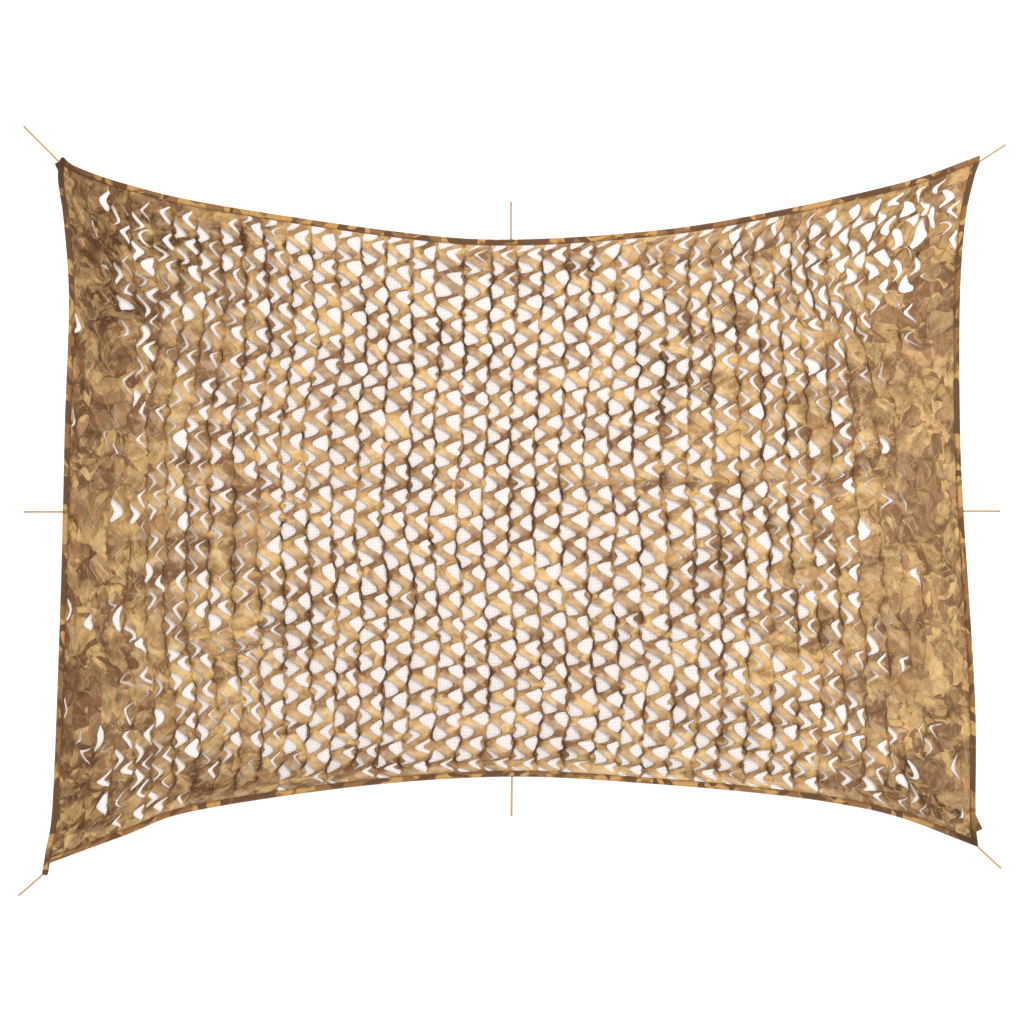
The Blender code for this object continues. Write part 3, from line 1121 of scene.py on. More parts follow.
class Station(Enum):
    """Lines of points up a lattice column, from one strand to the next."""

    STRAND = 0
    RIGHT_ROOT = 1
    RIGHT_LEAF = 2
    RIGHT_TIP = 3
    BAND_LEFT = 4
    BAND_RIGHT = 5
    LEFT_TIP = 6
    LEFT_LEAF = 7
    LEFT_ROOT = 8
    LAST_STRAND = 9


@dataclass
class Spots:
    """Where each point of the lattice is in it."""

    column: np.ndarray
    station: np.ndarray
    row: np.ndarray
    past_line: np.ndarray
    past_step: np.ndarray
    side: np.ndarray

    @property
    def bunched(self) -> np.ndarray:
        """0 over the open middle and 1 over the bunched ends."""
        return np.interp(self.side, (0.68, 0.90), (0.0, 1.0))


@dataclass
class Slits:
    """The slits of one hand, each point with the one nearest to it in its column.

    Distances run from the slit's own strand, in columns.
    """

    up: np.ndarray
    along: np.ndarray
    root: np.ndarray
    leaf: np.ndarray
    edge: np.ndarray
    opening: np.ndarray
    curl: np.ndarray

    @property
    def inside(self) -> np.ndarray:
        """Whether each point is between the ends of its slit."""
        return self.along < 1


@dataclass(frozen=True)
class Place:
    """A round place on the lattice, in columns and half rows, and what is different there."""

    column: float
    row: float
    columns: float
    rows: float
    opening: float = 0.0
    even: float = 0.0
    shade: float = 0.0

    def away(self, column: np.ndarray, row: np.ndarray) -> np.ndarray:
        """How far off other places are: 0 in its middle and 1 at its reach, squared."""
        return ((column - self.column) / self.columns) ** 2 + ((row - self.row) / self.rows) ** 2


# Places where slits hang wider open than those about them, or closer below zero, and how evenly
# their columns are spread.
LOOSE_PLACES = (
    Place(36.4, 41.5, 3.4, 5.0, opening=0.78, even=1.0),
    Place(3.5, 39.5, 4.0, 4.5, opening=0.19, even=0.25),
    Place(36.5, 4.0, 3.5, 3.5, opening=0.14),
    Place(4.0, 5.0, 4.0, 4.5, opening=0.17, even=0.35),
    Place(26.6, 27.0, 1.7, 20.0, opening=-0.26),
    Place(20.5, 43.5, 7.5, 4.0, opening=-0.40),
    Place(17.0, 0.0, 9.0, 2.8, opening=-0.62),
    Place(8.0, 3.0, 3.0, 3.5, opening=-0.20),
    Place(34.8, 20.0, 2.0, 17.0, opening=-0.15),
    Place(8.0, 16.0, 2.0, 6.0, opening=-0.12),
)

# Places where the cloth is drawn up into its corners, against its left edge and its hem, with
# painted shade in its creases and dark spots there.
DARK_PLACES = (
    Place(2.0, 41.5, 6.5, 5.0, shade=0.80),
    Place(2.0, 36.0, 3.5, 4.0, shade=0.75),
    Place(36.8, 2.0, 3.0, 3.0, shade=0.70),
    Place(39.2, 1.2, 2.4, 2.6, shade=0.60),
    Place(10.0, 0.3, 10.0, 1.8, shade=0.55),
    Place(2.0, 2.5, 5.0, 4.0, shade=0.56),
    Place(36.5, 40.5, 4.5, 5.5, shade=0.40),
    Place(39.0, 42.5, 2.5, 2.5, shade=0.36),
    Place(0.3, 22.0, 1.2, 24.0, shade=0.26),
)

@dataclass(frozen=True)
class Wandering:
    """A drift over the lattice, and how much of it the cloth has.

    Its cell is in columns and half rows, and there can be more of it at the bunched ends.
    """

    seed: int
    cell: Pair
    usual: float = 0.0
    more_bunched: float = 0.0

    def at(self, place: np.ndarray, spots: Spots) -> np.ndarray:
        """The cloth's share of the drift at each point."""
        amount = self.usual + self.more_bunched * spots.bunched
        return Drift(self.seed, self.cell).at(place, spots.row) * amount


@dataclass(frozen=True)
class Patches:
    """Soft patches from 0 to 1 over the lattice: a usual value, and a drift about it."""

    seed: int
    cell: Pair
    usual: float
    more: float

    def at(self, place: np.ndarray, row: np.ndarray) -> np.ndarray:
        """The patches' value at each place."""
        return np.clip(self.usual + self.more * Drift(self.seed, self.cell).at(place, row), 0, 1)


@dataclass(frozen=True)
class Folds:
    """Painted shade in the cloth's folds and knots, and painted shadow and highlights on its cut
    edges.
    """

    # Painted shade along the strands and their knots, by station, strongest in the open middle.
    turn: Steps = ((0.0, 0.4, 0.6, 0.75, 0.88, 1.0), (0.85, 0.85, 0.75, 0.50, 0.08, 0.0))
    turn_usual: float = 0.58
    turn_drifts: tuple[Wandering, ...] = (
        Wandering(14, (1.0, 0.5), 1.15),
        Wandering(18, (2.4, 3.1), 0.45),
    )
    turn_limits: Pair = (0.04, 1.2)
    turn_held: float = 0.3125
    turn_fade: float = 1.6
    strand: float = 0.75
    root: float = 0.65
    leaf: float = 0.25
    leaf_knot: float = 0.60
    tip: float = 0.10
    tip_knot: float = 0.50
    band: float = 0.03
    smudge: Steps = ((0.6, 0.9), (0.0, 0.45))
    smudges: Patches = Patches(20, (1.1, 1.6), 0.0, 1.0)
    right_smudge: float = 0.6
    # Painted shade in the creases that run into the corners, and dark spots in the corners and at the
    # ends.
    crease: float = 0.75
    crease_width: float = 0.30
    corner: float = 0.20
    corner_more: float = 0.55
    corner_spots: Patches = Patches(27, (0.7, 0.8), -0.15, 3.0)
    end: float = 0.45
    end_spots: Patches = Patches(29, (0.8, 0.9), -1.05, 3.0)
    edge_least: float = 0.4
    # Painted shadow under the binding's hem.
    hem: float = 0.50
    hem_width: float = 0.14
    hem_patches: Patches = Patches(25, (2.0, 2.0), 0.8, 1.0)
    # Painted shadow along cut edges, and the patches of painted highlights on them.
    rims: Patches = Patches(19, (0.8, 0.7), 0.6, 0.9)
    lit_rims: Patches = Patches(23, (1.1, 1.2), 0.25, 1.3)
    rim_faced_up: float = 0.40
    rim_least: float = 0.35
    rim_bunched: float = 0.5
    # Painted highlights where cut edges catch the light.
    lit: Steps = ((0.5, 0.7, 0.85, 1.0), (0.0, 0.9, 0.7, 0.3))
    lit_shaded: float = 0.3
    lit_band: float = 0.7
    lit_least: float = 0.25
    lit_broken: float = 0.5


@dataclass(frozen=True)
class Openings:
    """How wide the slits hang open, in columns: wide in the middle, and lapped at both ends."""

    usual: Steps = (
        (0.0, 0.38, 0.50, 0.62, 0.74, 0.86, 1.0),
        (0.70, 0.53, 0.31, 0.20, 0.12, -0.07, -0.20),
    )
    varied: Steps = ((0.0, 0.5, 1.0), (0.09, 0.17, 0.09))
    wide: Steps = ((0.6, 0.8, 1.0), (0.0, 0.08, 0.10))
    wide_more: Pair = (0.15, 0.45)
    wide_opening: float = 0.5
    loose_variation: Pair = (0.5, 1.3)
    closed_right: Pair = (33, 0.10)
    closed_left: Pair = (6, 0.05)
    closing_columns: int = 4
    opened: float = 0.04
    lapped: float = 0.06
    join_row: float = 24.2
    join_rows: float = 0.9
    join_side: float = 1.3
    join_closed: float = 0.55

    def drawn(
        self,
        side: np.ndarray,
        column: np.ndarray,
        row: np.ndarray,
        random: np.random.Generator,
    ) -> np.ndarray:
        """Draws the opening of each slit.

        Args:
            side: 0 in the net's middle and 1 at its ends.
            column: The slit's column.
            row: Half row of its middle.
            random: The generator of its variation.

        Returns:
            The openings; below zero the slit's leaf laps over its band.
        """
        opening = np.interp(side, *self.usual)
        for way, (start, closed) in ((1, self.closed_right), (-1, self.closed_left)):
            past = (column - start) * way / self.closing_columns
            opening = opening - closed * np.clip(past, 0, 1)
        opening += random.normal(0.0, 1.0, column.shape) * np.interp(side, *self.varied)
        wide = random.random(column.shape) < np.interp(side, *self.wide)
        opening += wide * random.uniform(*self.wide_more, column.shape)
        for place in LOOSE_PLACES:
            near = np.exp(-place.away(column, row))
            varied = random.uniform(*self.loose_variation, column.shape)
            opening += place.opening * near * varied
        opening += np.where(opening > self.opened, self.opened, -self.lapped)
        at_join = np.exp(-(((row - self.join_row) / self.join_rows) ** 2))
        at_join = at_join * np.clip(self.join_side - side, 0, 1)
        return opening - at_join * random.uniform(0.0, self.join_closed, column.shape)


@dataclass(frozen=True)
class SlitShape:
    """How far a slit's edges stand from its strand, in columns, along its half rows."""

    reach: float = 0.585
    reach_variation: Pair = (-0.08, 0.07)
    blunt: float = 1.02
    blunt_variation: Pair = (0.15, 1.15)
    root: float = 0.034
    root_swell: float = 0.85
    root_drift: Pair = (0.31, 0.37)
    knot_root: float = 0.070
    knot_from: float = 0.45
    knot_rows: float = 0.35
    corner: float = 0.10
    knot: float = 0.16
    tip_sag: float = 0.14
    tip_variation: float = 0.15
    nub: Steps = ((0.0, 0.5, 1.0), (0.13, 0.18, 0.10))
    nub_length: float = 0.24
    least_leaf: float = 0.012
    leaf_rounding: float = 0.4
    leaf_of_knot: float = 0.55


@dataclass(frozen=True)
class Rise:
    """How high the cloth stands before its edges hold it down: strands stand, and leaves curl."""

    strand_low: float = 0.004
    strand_high: float = 0.013
    strand_calmed: float = 0.8
    tip_high: float = 0.014
    tip_low: float = 0.006
    knot_drop: float = 0.001
    band_rise: float = 0.001
    wide_opening: float = 0.5
    curl: float = 0.005
    lapped_curl: float = 0.003
    lapped_high: Pair = (0.004, 0.005)
    lapped_calmed: float = 0.55
    calm_height: float = 0.0085
    calmed: float = 0.7

    def at(self, spots: Spots, right: Slits, left: Slits) -> np.ndarray:
        """How high each point stands.

        Args:
            spots: The lattice's points.
            right: The slits that point right.
            left: Those that point left.

        Returns:
            The heights, in metres.
        """
        stands = (self.strand_high - self.strand_low) * (1 - self.strand_calmed * spots.bunched)
        ridge = self.strand_low + stands
        high = np.where(right.inside, self.tip_high, ridge - self.knot_drop)
        low = np.where(left.inside, self.tip_low, self.tip_low - self.knot_drop)
        loose = 1 - self.lapped_calmed * spots.bunched
        leaves = []
        for slits, root, tip, over in (
            (right, ridge, high, self.lapped_high[0]),
            (left, self.strand_low + self.curl, low, self.lapped_high[1]),
        ):
            wide = np.clip(slits.opening / self.wide_opening, 0, 1)
            turned = root + self.curl * slits.curl
            lapped = tip + (over + self.lapped_curl * slits.curl) * loose
            leaves.append(np.where(slits.inside, turned * wide + lapped * (1 - wide), tip))
        lines = {
            Station.STRAND: (self.strand_low + ridge) / 2,
            Station.RIGHT_ROOT: ridge,
            Station.RIGHT_LEAF: leaves[0],
            Station.RIGHT_TIP: high,
            Station.BAND_LEFT: high + (low - high) / 3 + self.band_rise,
            Station.BAND_RIGHT: high + (low - high) * 2 / 3 + self.band_rise,
            Station.LEFT_TIP: low,
            Station.LEFT_LEAF: leaves[1],
            Station.LEFT_ROOT: np.full_like(ridge, self.strand_low),
            Station.LAST_STRAND: (self.strand_low + ridge) / 2,
        }
        height = np.choose(spots.station, list(lines.values()))
        return self.calm_height + (height - self.calm_height) * (1 - self.calmed * spots.bunched)


@dataclass
class Garnish:
    """The incised cloth: a lattice of slits pulled open into staggered gaps.

    Lengths and heights are in metres. Drifts, swaying and lifting are in columns and half rows.
    """

    columns: int = 40
    half_rows: int = 44
    stations: int = 9
    steps: int = 6
    slit_steps: int = 4
    border_lines: int = 2
    selvedge: float = 0.029
    tuck: float = 0.010
    spread: float = 0.125
    middle_pitch: float = 1.25
    pitch_loss: float = 0.55
    hem_bunch: float = 0.045
    hem_power: int = 9
    net_length: float = 3.937
    net_height: float = 3.068
    zigzag: float = 0.075
    zigzag_calmed: float = 0.7
    near_strand: float = 0.30
    lap: float = 0.15
    border_step: float = 0.01
    resting: float = 0.0028
    highest: float = 0.034
    leaf_over: float = 0.0005
    bunched_rise: float = 0.001
    held_columns: float = 1.2
    held_rows: float = 1.5
    hemmed_columns: tuple[int, int] = (9, 31)
    hemmed_opening: float = 0.03
    pleat: float = 0.013
    pleat_level: float = 0.45
    pleat_drift: Pair = (0.9, 2.3)
    corner_fold: float = 0.014
    fold_level: float = 0.35
    fold_drift: Pair = (1.0, 7.0)
    fold_slope: float = 1.3
    fold_apart: float = 20.0
    corner_strength: float = 1.8
    even_strength: float = 1.6
    even_fade: float = 0.45
    flat_size: Pair = (3.9, 2.9)
    flat_area: float = 10.0
    openings: Openings = Openings()
    shape: SlitShape = SlitShape()
    rise: Rise = Rise()
    folds: Folds = Folds()
    height_drifts: tuple[Wandering, ...] = (
        Wandering(5, (1.3, 1.9), 0.0020, 0.0045),
        Wandering(6, (3.7, 5.1), 0.0025, 0.0020),
        Wandering(17, (0.6, 0.8), 0.0015, 0.0035),
    )
    sway_drifts: tuple[Wandering, ...] = (
        Wandering(7, (4.3, 6.7), 0.20),
        Wandering(8, (1.6, 2.3), 0.10),
        Wandering(9, (0.8, 1.1), 0.06, 0.32),
    )
    lift_drifts: tuple[Wandering, ...] = (
        Wandering(10, (5.3, 4.9), 0.20),
        Wandering(12, (1.3, 2.1), 0.14),
        Wandering(13, (0.7, 0.9), 0.11, 0.32),
    )
    strand_sway: Wandering = Wandering(24, (0.9, 0.31), 0.065)

    @property
    def flat_middle(self) -> float:
        """Flat place of the net's middle along the cloth, in metres."""
        return self.column_pitch * self.columns * (1 + 2 * self.lap) / 2

    @property
    def column_pitch(self) -> float:
        """Mean width of a column, in metres."""
        return (self.net_length - 2 * self.selvedge) / self.columns

    def across(self, column: np.ndarray, evened: np.ndarray) -> np.ndarray:
        """Share across the net of a lattice column: widest in the middle, unless evened.

        Args:
            column: The column and share of one.
            evened: How far the columns are spread evenly.

        Returns:
            0 at the left edge and 1 at the right.
        """
        place = np.clip(2 * column / self.columns - 1, -1, 1)
        eased = place + self.spread * (place - place**5) * (1 - evened)
        inner = 0.5 + eased * (0.5 - self.selvedge / self.net_length)
        past = np.abs(2 * column / self.columns - 1) - 1
        border = np.clip(past * self.columns / 2 / self.border_lines, 0, 1)
        return inner + np.sign(place) * border * (self.selvedge - self.tuck) / self.net_length

    def up(self, half_row: np.ndarray) -> np.ndarray:
        """Share up the net of a lattice half row: the rows lie closer along the bottom hem.

        Args:
            half_row: The half row and share of one.

        Returns:
            0 at the bottom edge and 1 at the top.
        """
        place = np.clip(half_row / self.half_rows, 0, 1) - 0.5
        below = np.clip(-2 * place, 0, 1)
        place = place - self.hem_bunch / 2 * (below - below**self.hem_power)
        inner = 0.5 + place * (1 - 2 * self.selvedge / self.net_height)
        past = np.abs(half_row / self.half_rows - 0.5) - 0.5
        border = np.clip(past * self.half_rows / self.border_lines, 0, 1)
        return inner + np.sign(place) * border * (self.selvedge - self.tuck) / self.net_height

    def lattice(self, material: bpy.types.Material) -> bpy.types.Mesh:
        """The flat lattice, one unit to each line of points, with its slits opened.

        Args:
            material: The cloth's finish.

        Returns:
            A mesh whose x is the station line and y the step line of each point.
        """
        recipe = Recipe(
            "slit_lattice",
            {
                "Station lines": self.columns * self.stations + 2 * self.border_lines,
                "Step lines": self.half_rows * self.steps + 2 * self.border_lines,
                "Border lines": self.border_lines,
                "Stations in a column": self.stations,
                "Steps in a row": 2 * self.steps,
                "Slit steps": 2 * self.slit_steps,
                "First hemmed line": self.hemmed_columns[0] * self.stations,
                "Last hemmed line": self.hemmed_columns[1] * self.stations,
            },
            material,
        )
        wide, high, border, column, period, slit, first, last = map(recipe.size, recipe.sizes)
        grid = recipe.shape(
            "GeometryNodeMeshGrid",
            Size_X=wide,
            Size_Y=high,
            Vertices_X=wide + 1,
            Vertices_Y=high + 1,
        )
        move = recipe.shape("ShaderNodeCombineXYZ", X=wide * 0.5 - border, Y=high * 0.5 - border)
        placed = recipe.shape("GeometryNodeSetPosition", Geometry=grid, Offset=move)
        position = recipe.shape("GeometryNodeInputPosition")
        parts = recipe.add("ShaderNodeSeparateXYZ", in_0=position)
        line, step = recipe.wave(parts.outputs[0]), recipe.wave(parts.outputs[1])
        inside_x = line.over(0.0) * line.under(wide - border * 2)
        inside_y = step.over(0.0) * step.under(high - border * 2)
        station = line.wrapped(column)
        points_right = station.over(Station.RIGHT_LEAF.value)
        points_right *= station.under(Station.RIGHT_TIP.value)
        points_right *= (step + slit * 0.5).wrapped(period).under(slit)
        whole = step.over(slit * 0.5) * step.under(high - border * 2 - slit * 0.5)
        hemmed = line.over(first) * line.under(last)
        points_right *= whole + hemmed * (1.0 - whole)
        points_left = station.over(Station.LEFT_TIP.value)
        points_left *= station.under(Station.LEFT_LEAF.value)
        points_left *= (step + slit * 0.5 - period * 0.5).wrapped(period).under(slit)
        cut = (points_right + points_left) * inside_x * inside_y
        opened = recipe.shape(
            "GeometryNodeDeleteGeometry",
            {"domain": "FACE", "mode": "ONLY_FACE"},
            Geometry=placed,
            Selection=cut.over(0.5),
        )
        smooth = recipe.shape("GeometryNodeSetShadeSmooth", in_0=opened, Shade_Smooth=True)
        return recipe.made(smooth)

    def spots(self, mesh: bpy.types.Mesh) -> Spots:
        """Reads where each point of the flat lattice is in it.

        Args:
            mesh: The flat lattice.

        Returns:
            The points' places.
        """
        lines = np.round(points_of(mesh)[:, :2]).astype(int)
        line = np.clip(lines[:, 0], 0, self.columns * self.stations)
        step = np.clip(lines[:, 1], 0, self.half_rows * self.steps)
        column = np.minimum(line // self.stations, self.columns - 1)
        station = line - column * self.stations
        side = np.abs(2 * (column + station / self.stations) / self.columns - 1)
        past_line, past_step = lines[:, 0] - line, lines[:, 1] - step
        return Spots(column, station, step / self.steps, past_line, past_step, side)

    def slits(self, spots: Spots, seed: int, first_row: int) -> Slits:
        """Draws and shapes the slits of one hand.

        Args:
            spots: The lattice's points.
            seed: The seed of their variation.
            first_row: Half row of the lowest slit's middle: 0 where they point right, or 1 left.

        Returns:
            The slits at every point.
        """
        random, shape = np.random.default_rng(seed), self.shape
        count = self.half_rows // 2 + 1
        column, slit = np.meshgrid(np.arange(self.columns), np.arange(count), indexing="ij")
        row = 2 * slit + first_row
        side = np.abs(2 * (column + 0.5) / self.columns - 1)
        opening = self.openings.drawn(side, column, row, random)
        least = self.hemmed_opening
        hemmed = (column >= self.hemmed_columns[0]) & (column < self.hemmed_columns[1])
        at_hem = (row <= 0) | (row >= self.half_rows)
        opening = np.where(at_hem, np.where(hemmed, np.maximum(opening, least), least), opening)
        wide = np.clip(opening / self.openings.wide_opening, 0, 1)
        lean = -1 if first_row == 0 else 1
        drawn = {
            "reach": shape.reach + random.uniform(*shape.reach_variation, column.shape),
            "opening": opening,
            "nub": random.uniform(0.0, 1.0, column.shape) ** 2,
            "curl": random.uniform(-1.0, 1.0, column.shape),
            "blunt": shape.blunt + random.uniform(*shape.blunt_variation, column.shape) * wide,
            "tip": lean * shape.tip_sag
            + random.uniform(-shape.tip_variation, shape.tip_variation, column.shape),
        }
        nearest = np.clip(np.round((spots.row - first_row) / 2).astype(int), 0, count - 1)
        here = {name: values[spots.column, nearest] for name, values in drawn.items()}
        up = spots.row - (2 * nearest + first_row)
        end, tip = self.slit_steps / self.steps, here["tip"]
        along = np.where(up > tip, (up - tip) / (end - tip), (tip - up) / (end + tip))
        bulge = np.clip(1 - np.minimum(along, 1.0) ** here["blunt"], 0, 1)
        shut = np.clip((np.abs(up) - end) / (1 - end), 0, 1)
        edge = shape.corner + (here["reach"] - shape.corner) * bulge
        edge += (shape.knot - shape.corner) * shut
        swell = Drift(16 + first_row, shape.root_drift).at(spots.column, spots.row)
        knot = np.clip((np.abs(up) - shape.knot_from) / shape.knot_rows, 0, 1)
        root = shape.root + (shape.knot_root - shape.root) * knot
        root = root * (1 + shape.root_swell * swell)
        nub = here["nub"] * np.interp(spots.side, *shape.nub)
        nub = nub * np.exp(-((up / shape.nub_length) ** 2))
        rounded = np.clip(1 - along**2, 0, 1) ** shape.leaf_rounding
        width = np.minimum(edge - root - nub - shape.least_leaf, here["opening"] * rounded)
        leaf = np.where(along < 1, edge - width, root + (edge - root) * shape.leaf_of_knot)
        return Slits(up, along, root, leaf, edge, here["opening"], here["curl"])

    def shares(self, spots: Spots, right: Slits, left: Slits) -> np.ndarray:
        """How far across its column each point is, from 0 to 1.

        Args:
            spots: The lattice's points.
            right: The slits that point right.
            left: Those that point left.

        Returns:
            The shares.
        """
        band = 1 - left.edge - right.edge
        lines = {
            Station.STRAND: np.zeros_like(band),
            Station.RIGHT_ROOT: right.root,
            Station.RIGHT_LEAF: right.leaf,
            Station.RIGHT_TIP: right.edge,
            Station.BAND_LEFT: right.edge + band / 3,
            Station.BAND_RIGHT: right.edge + band * 2 / 3,
            Station.LEFT_TIP: 1 - left.edge,
            Station.LEFT_LEAF: 1 - left.leaf,
            Station.LEFT_ROOT: 1 - left.root,
            Station.LAST_STRAND: np.ones_like(band),
        }
        return np.choose(spots.station, list(lines.values()))

    @staticmethod
    def of_leaf(spots: Spots) -> np.ndarray:
        """Whether each point is on a strand or its leaves, and not on the band between them."""
        return (spots.station < Station.RIGHT_TIP.value) | (spots.station > Station.LEFT_TIP.value)

    def fan(self, place: np.ndarray, row: np.ndarray) -> np.ndarray:
        """Folds that run into the nearest corner: 0 in each crease and 1 on each ridge.

        Args:
            place: Columns and shares of one.
            row: Half rows.

        Returns:
            The folds there.
        """
        in_from_end = np.minimum(place, self.columns - place)
        in_from_edge = np.minimum(row, self.half_rows - row)
        other_end = np.where(place > self.columns / 2, self.fold_apart, 0.0)
        across_folds = in_from_end - self.fold_slope * in_from_edge + other_end
        return np.abs(Drift(28, self.fold_drift).at(across_folds, in_from_end + in_from_edge))

    def in_corners(self, place: np.ndarray, row: np.ndarray) -> np.ndarray:
        """How much of the corner folds each place has, from 0 to 1."""
        shares = [dark.shade * np.exp(-dark.away(place, row)) for dark in DARK_PLACES]
        return np.clip(self.corner_strength * np.max(shares, axis=0), 0, 1)

    def evened(self, place: np.ndarray, row: np.ndarray) -> np.ndarray:
        """How far each place's columns are spread evenly, where the bunched ends hang loose.

        Args:
            place: Columns and shares of one.
            row: Half rows.

        Returns:
            Shares from 0 to 1.
        """
        share = np.zeros_like(place)
        for loose in LOOSE_PLACES:
            near = self.even_strength * np.exp(-self.even_fade * loose.away(place, row))
            share += loose.even * np.clip(near, 0, 1)
        return np.clip(share, 0, 1)

    def drape(self, mesh: bpy.types.Mesh, patch: Patch) -> None:
        """Shapes the flat lattice: opens its slits and lays it between the edges.

        Args:
            mesh: The lattice.
            patch: The plan of the net.
        """
        spots = self.spots(mesh)
        right, left = self.slits(spots, 21, 0), self.slits(spots, 22, 1)
        share, row, bunched = self.shares(spots, right, left), spots.row, spots.bunched
        near_strand = np.clip(1 - np.minimum(share, 1 - share) / self.near_strand, 0, 1)
        zigzag = self.zigzag * np.cos(math.pi * row) * (1 - self.zigzag_calmed * bunched)
        place = spots.column + share - zigzag * near_strand
        held = np.clip(np.minimum(place, self.columns - place) / self.held_columns, 0, 1)
        held = held * np.clip(np.minimum(row, self.half_rows - row) / self.held_rows, 0, 1)
        height = self.rise.at(spots, right, left) + self.bunched_rise * bunched
        height += sum(drift.at(place, spots) for drift in self.height_drifts)
        pleats = self.pleat_level - np.abs(Drift(26, self.pleat_drift).at(place, row))
        height += pleats * self.pleat * bunched
        folded = self.fold_level - self.fan(place, row)
        height += folded * self.corner_fold * self.in_corners(place, row)
        height = np.maximum(self.resting + (height - self.resting) * held, self.resting)
        height = self.highest * np.tanh(height / self.highest)
        height += np.where(self.of_leaf(spots), self.leaf_over, 0.0)
        sway = sum(drift.at(place, spots) for drift in self.sway_drifts)
        sway += self.strand_sway.at(place, spots) * near_strand
        lift = sum(drift.at(place, spots) for drift in self.lift_drifts)
        across = self.across(place + sway * held + spots.past_line, self.evened(place, row))
        plan = patch.at(across, self.up(row + lift * held + spots.past_step))
        set_points(mesh, np.column_stack([plan, height]))
        set_cloth_place(mesh, self.flat_places(spots, share))
        self.shade(mesh, spots, (right, left), place, held)

    def flat_places(self, spots: Spots, share: np.ndarray) -> np.ndarray:
        """Each point's flat place on the cloth, in metres, where strands lap their columns.

        Args:
            spots: The lattice's points.
            share: How far across its column each is.

        Returns:
            Rows of x and y.
        """
        is_last = spots.station == Station.LAST_STRAND.value
        is_first = spots.station == Station.STRAND.value
        lapped = share + self.lap * (is_last * 1 - is_first * 1)
        stretched = (1 + 2 * self.lap) * share - self.lap
        flat_share = lapped + (stretched - lapped) * spots.bunched
        row_pitch = (self.net_height - 2 * self.selvedge) / self.half_rows
        along = self.column_pitch * ((1 + 2 * self.lap) * spots.column + flat_share)
        along = along + self.border_step * spots.past_line
        up = row_pitch * spots.row + self.border_step * spots.past_step
        return np.column_stack([along, up])

    def smudges(self, spots: Spots, place: np.ndarray) -> np.ndarray:
        """Soft dark smudges at the bunched ends, and painted shade in the creases and dark spots in
        the corners and along the hems.

        Args:
            spots: The lattice's points.
            place: Each point's column and share of one.

        Returns:
            How dark each point is.
        """
        folds, row = self.folds, spots.row
        smudge = np.interp(spots.side, *folds.smudge) * folds.smudges.at(place, row)
        smudge = smudge * np.where(place > self.columns / 2, folds.right_smudge, 1.0)
        # Painted shade in the creases that run into the corners.
        creased = np.clip(1 - self.fan(place, row) / folds.crease_width, 0, 1) * folds.crease
        spotted = folds.corner + folds.corner_more * folds.corner_spots.at(place, row)
        smudge += self.in_corners(place, row) * np.maximum(creased, spotted)
        return smudge + folds.end * spots.bunched * folds.end_spots.at(place, row)

    def shade(
        self,
        mesh: bpy.types.Mesh,
        spots: Spots,
        hands: tuple[Slits, Slits],
        place: np.ndarray,
        held: np.ndarray,
    ) -> None:
        """Marks painted shade in the folds, and the painted shadow and highlights on cut edges.

        Args:
            mesh: The draped lattice.
            spots: Its points.
            hands: The slits that point right, and those that point left.
            place: Each point's column and share of one.
            held: 0 at the net's edges and 1 inside.
        """
        folds, (right, left), side, row = self.folds, hands, spots.side, spots.row
        # Painted shade along the strands and at their knots, strongest in the open middle.
        strength = folds.turn_usual + sum(drift.at(place, spots) for drift in folds.turn_drifts)
        turn = np.interp(side, *folds.turn) * np.clip(strength, *folds.turn_limits)
        turn = turn * np.clip((held - folds.turn_held) * folds.turn_fade, 0, 1)
        tips, leaves = (
            [turn * np.where(slits.inside, open_shade, knot_shade) for slits in hands]
            for open_shade, knot_shade in ((folds.tip, folds.tip_knot), (folds.leaf, folds.leaf_knot))
        )
        band_shade = np.full_like(turn, folds.band)
        shades = {
            Station.STRAND: turn * folds.strand,
            Station.RIGHT_ROOT: turn * folds.root,
            Station.RIGHT_LEAF: leaves[0],
            Station.RIGHT_TIP: tips[0],
            Station.BAND_LEFT: band_shade,
            Station.BAND_RIGHT: band_shade,
            Station.LEFT_TIP: tips[1],
            Station.LEFT_LEAF: leaves[1],
            Station.LEFT_ROOT: turn * folds.root,
            Station.LAST_STRAND: turn * folds.strand,
        }
        fold = np.choose(spots.station, list(shades.values())) + self.smudges(spots, place)
        fold = fold * (folds.edge_least + (1 - folds.edge_least) * held)
        # Painted shadow under the binding's hem.
        at_hem = np.clip(1 - held / folds.hem_width, 0, 1)
        fold += folds.hem * at_hem * folds.hem_patches.at(place, row)
        of_band = spots.station >= Station.RIGHT_TIP.value
        of_band = of_band & (spots.station <= Station.LEFT_TIP.value)
        of_right = spots.station <= Station.BAND_LEFT.value
        past = np.where(of_right, np.abs(right.up), np.abs(left.up)) - self.slit_steps / self.steps
        band = 1 - left.edge - right.edge
        leaf_right, leaf_left = right.leaf - right.root, left.leaf - left.root
        rims = [0.5, leaf_right, 0, 0, band / 3, band / 3, 0, 0, leaf_left, 0.5]
        pitch = self.net_length / self.columns * (self.middle_pitch - self.pitch_loss * side**4)
        rim = (np.choose(spots.station, rims) + np.clip(past, 0, 1) / 2) * pitch
        spines = [0, right.root, right.leaf, right.edge, 1, 1, left.edge, left.leaf, left.root, 0]
        spine = np.choose(spots.station, spines) * pitch
        # lean: which way each band leg faces, for its painted light and shade.
        lean = 0.5 - 0.5 * np.sin(math.pi * right.up) * of_band * (1 - spots.bunched)
        inside_net = np.clip(np.minimum(row, self.half_rows - row) - 0.5, 0, 1)
        sag = self.shape.tip_sag
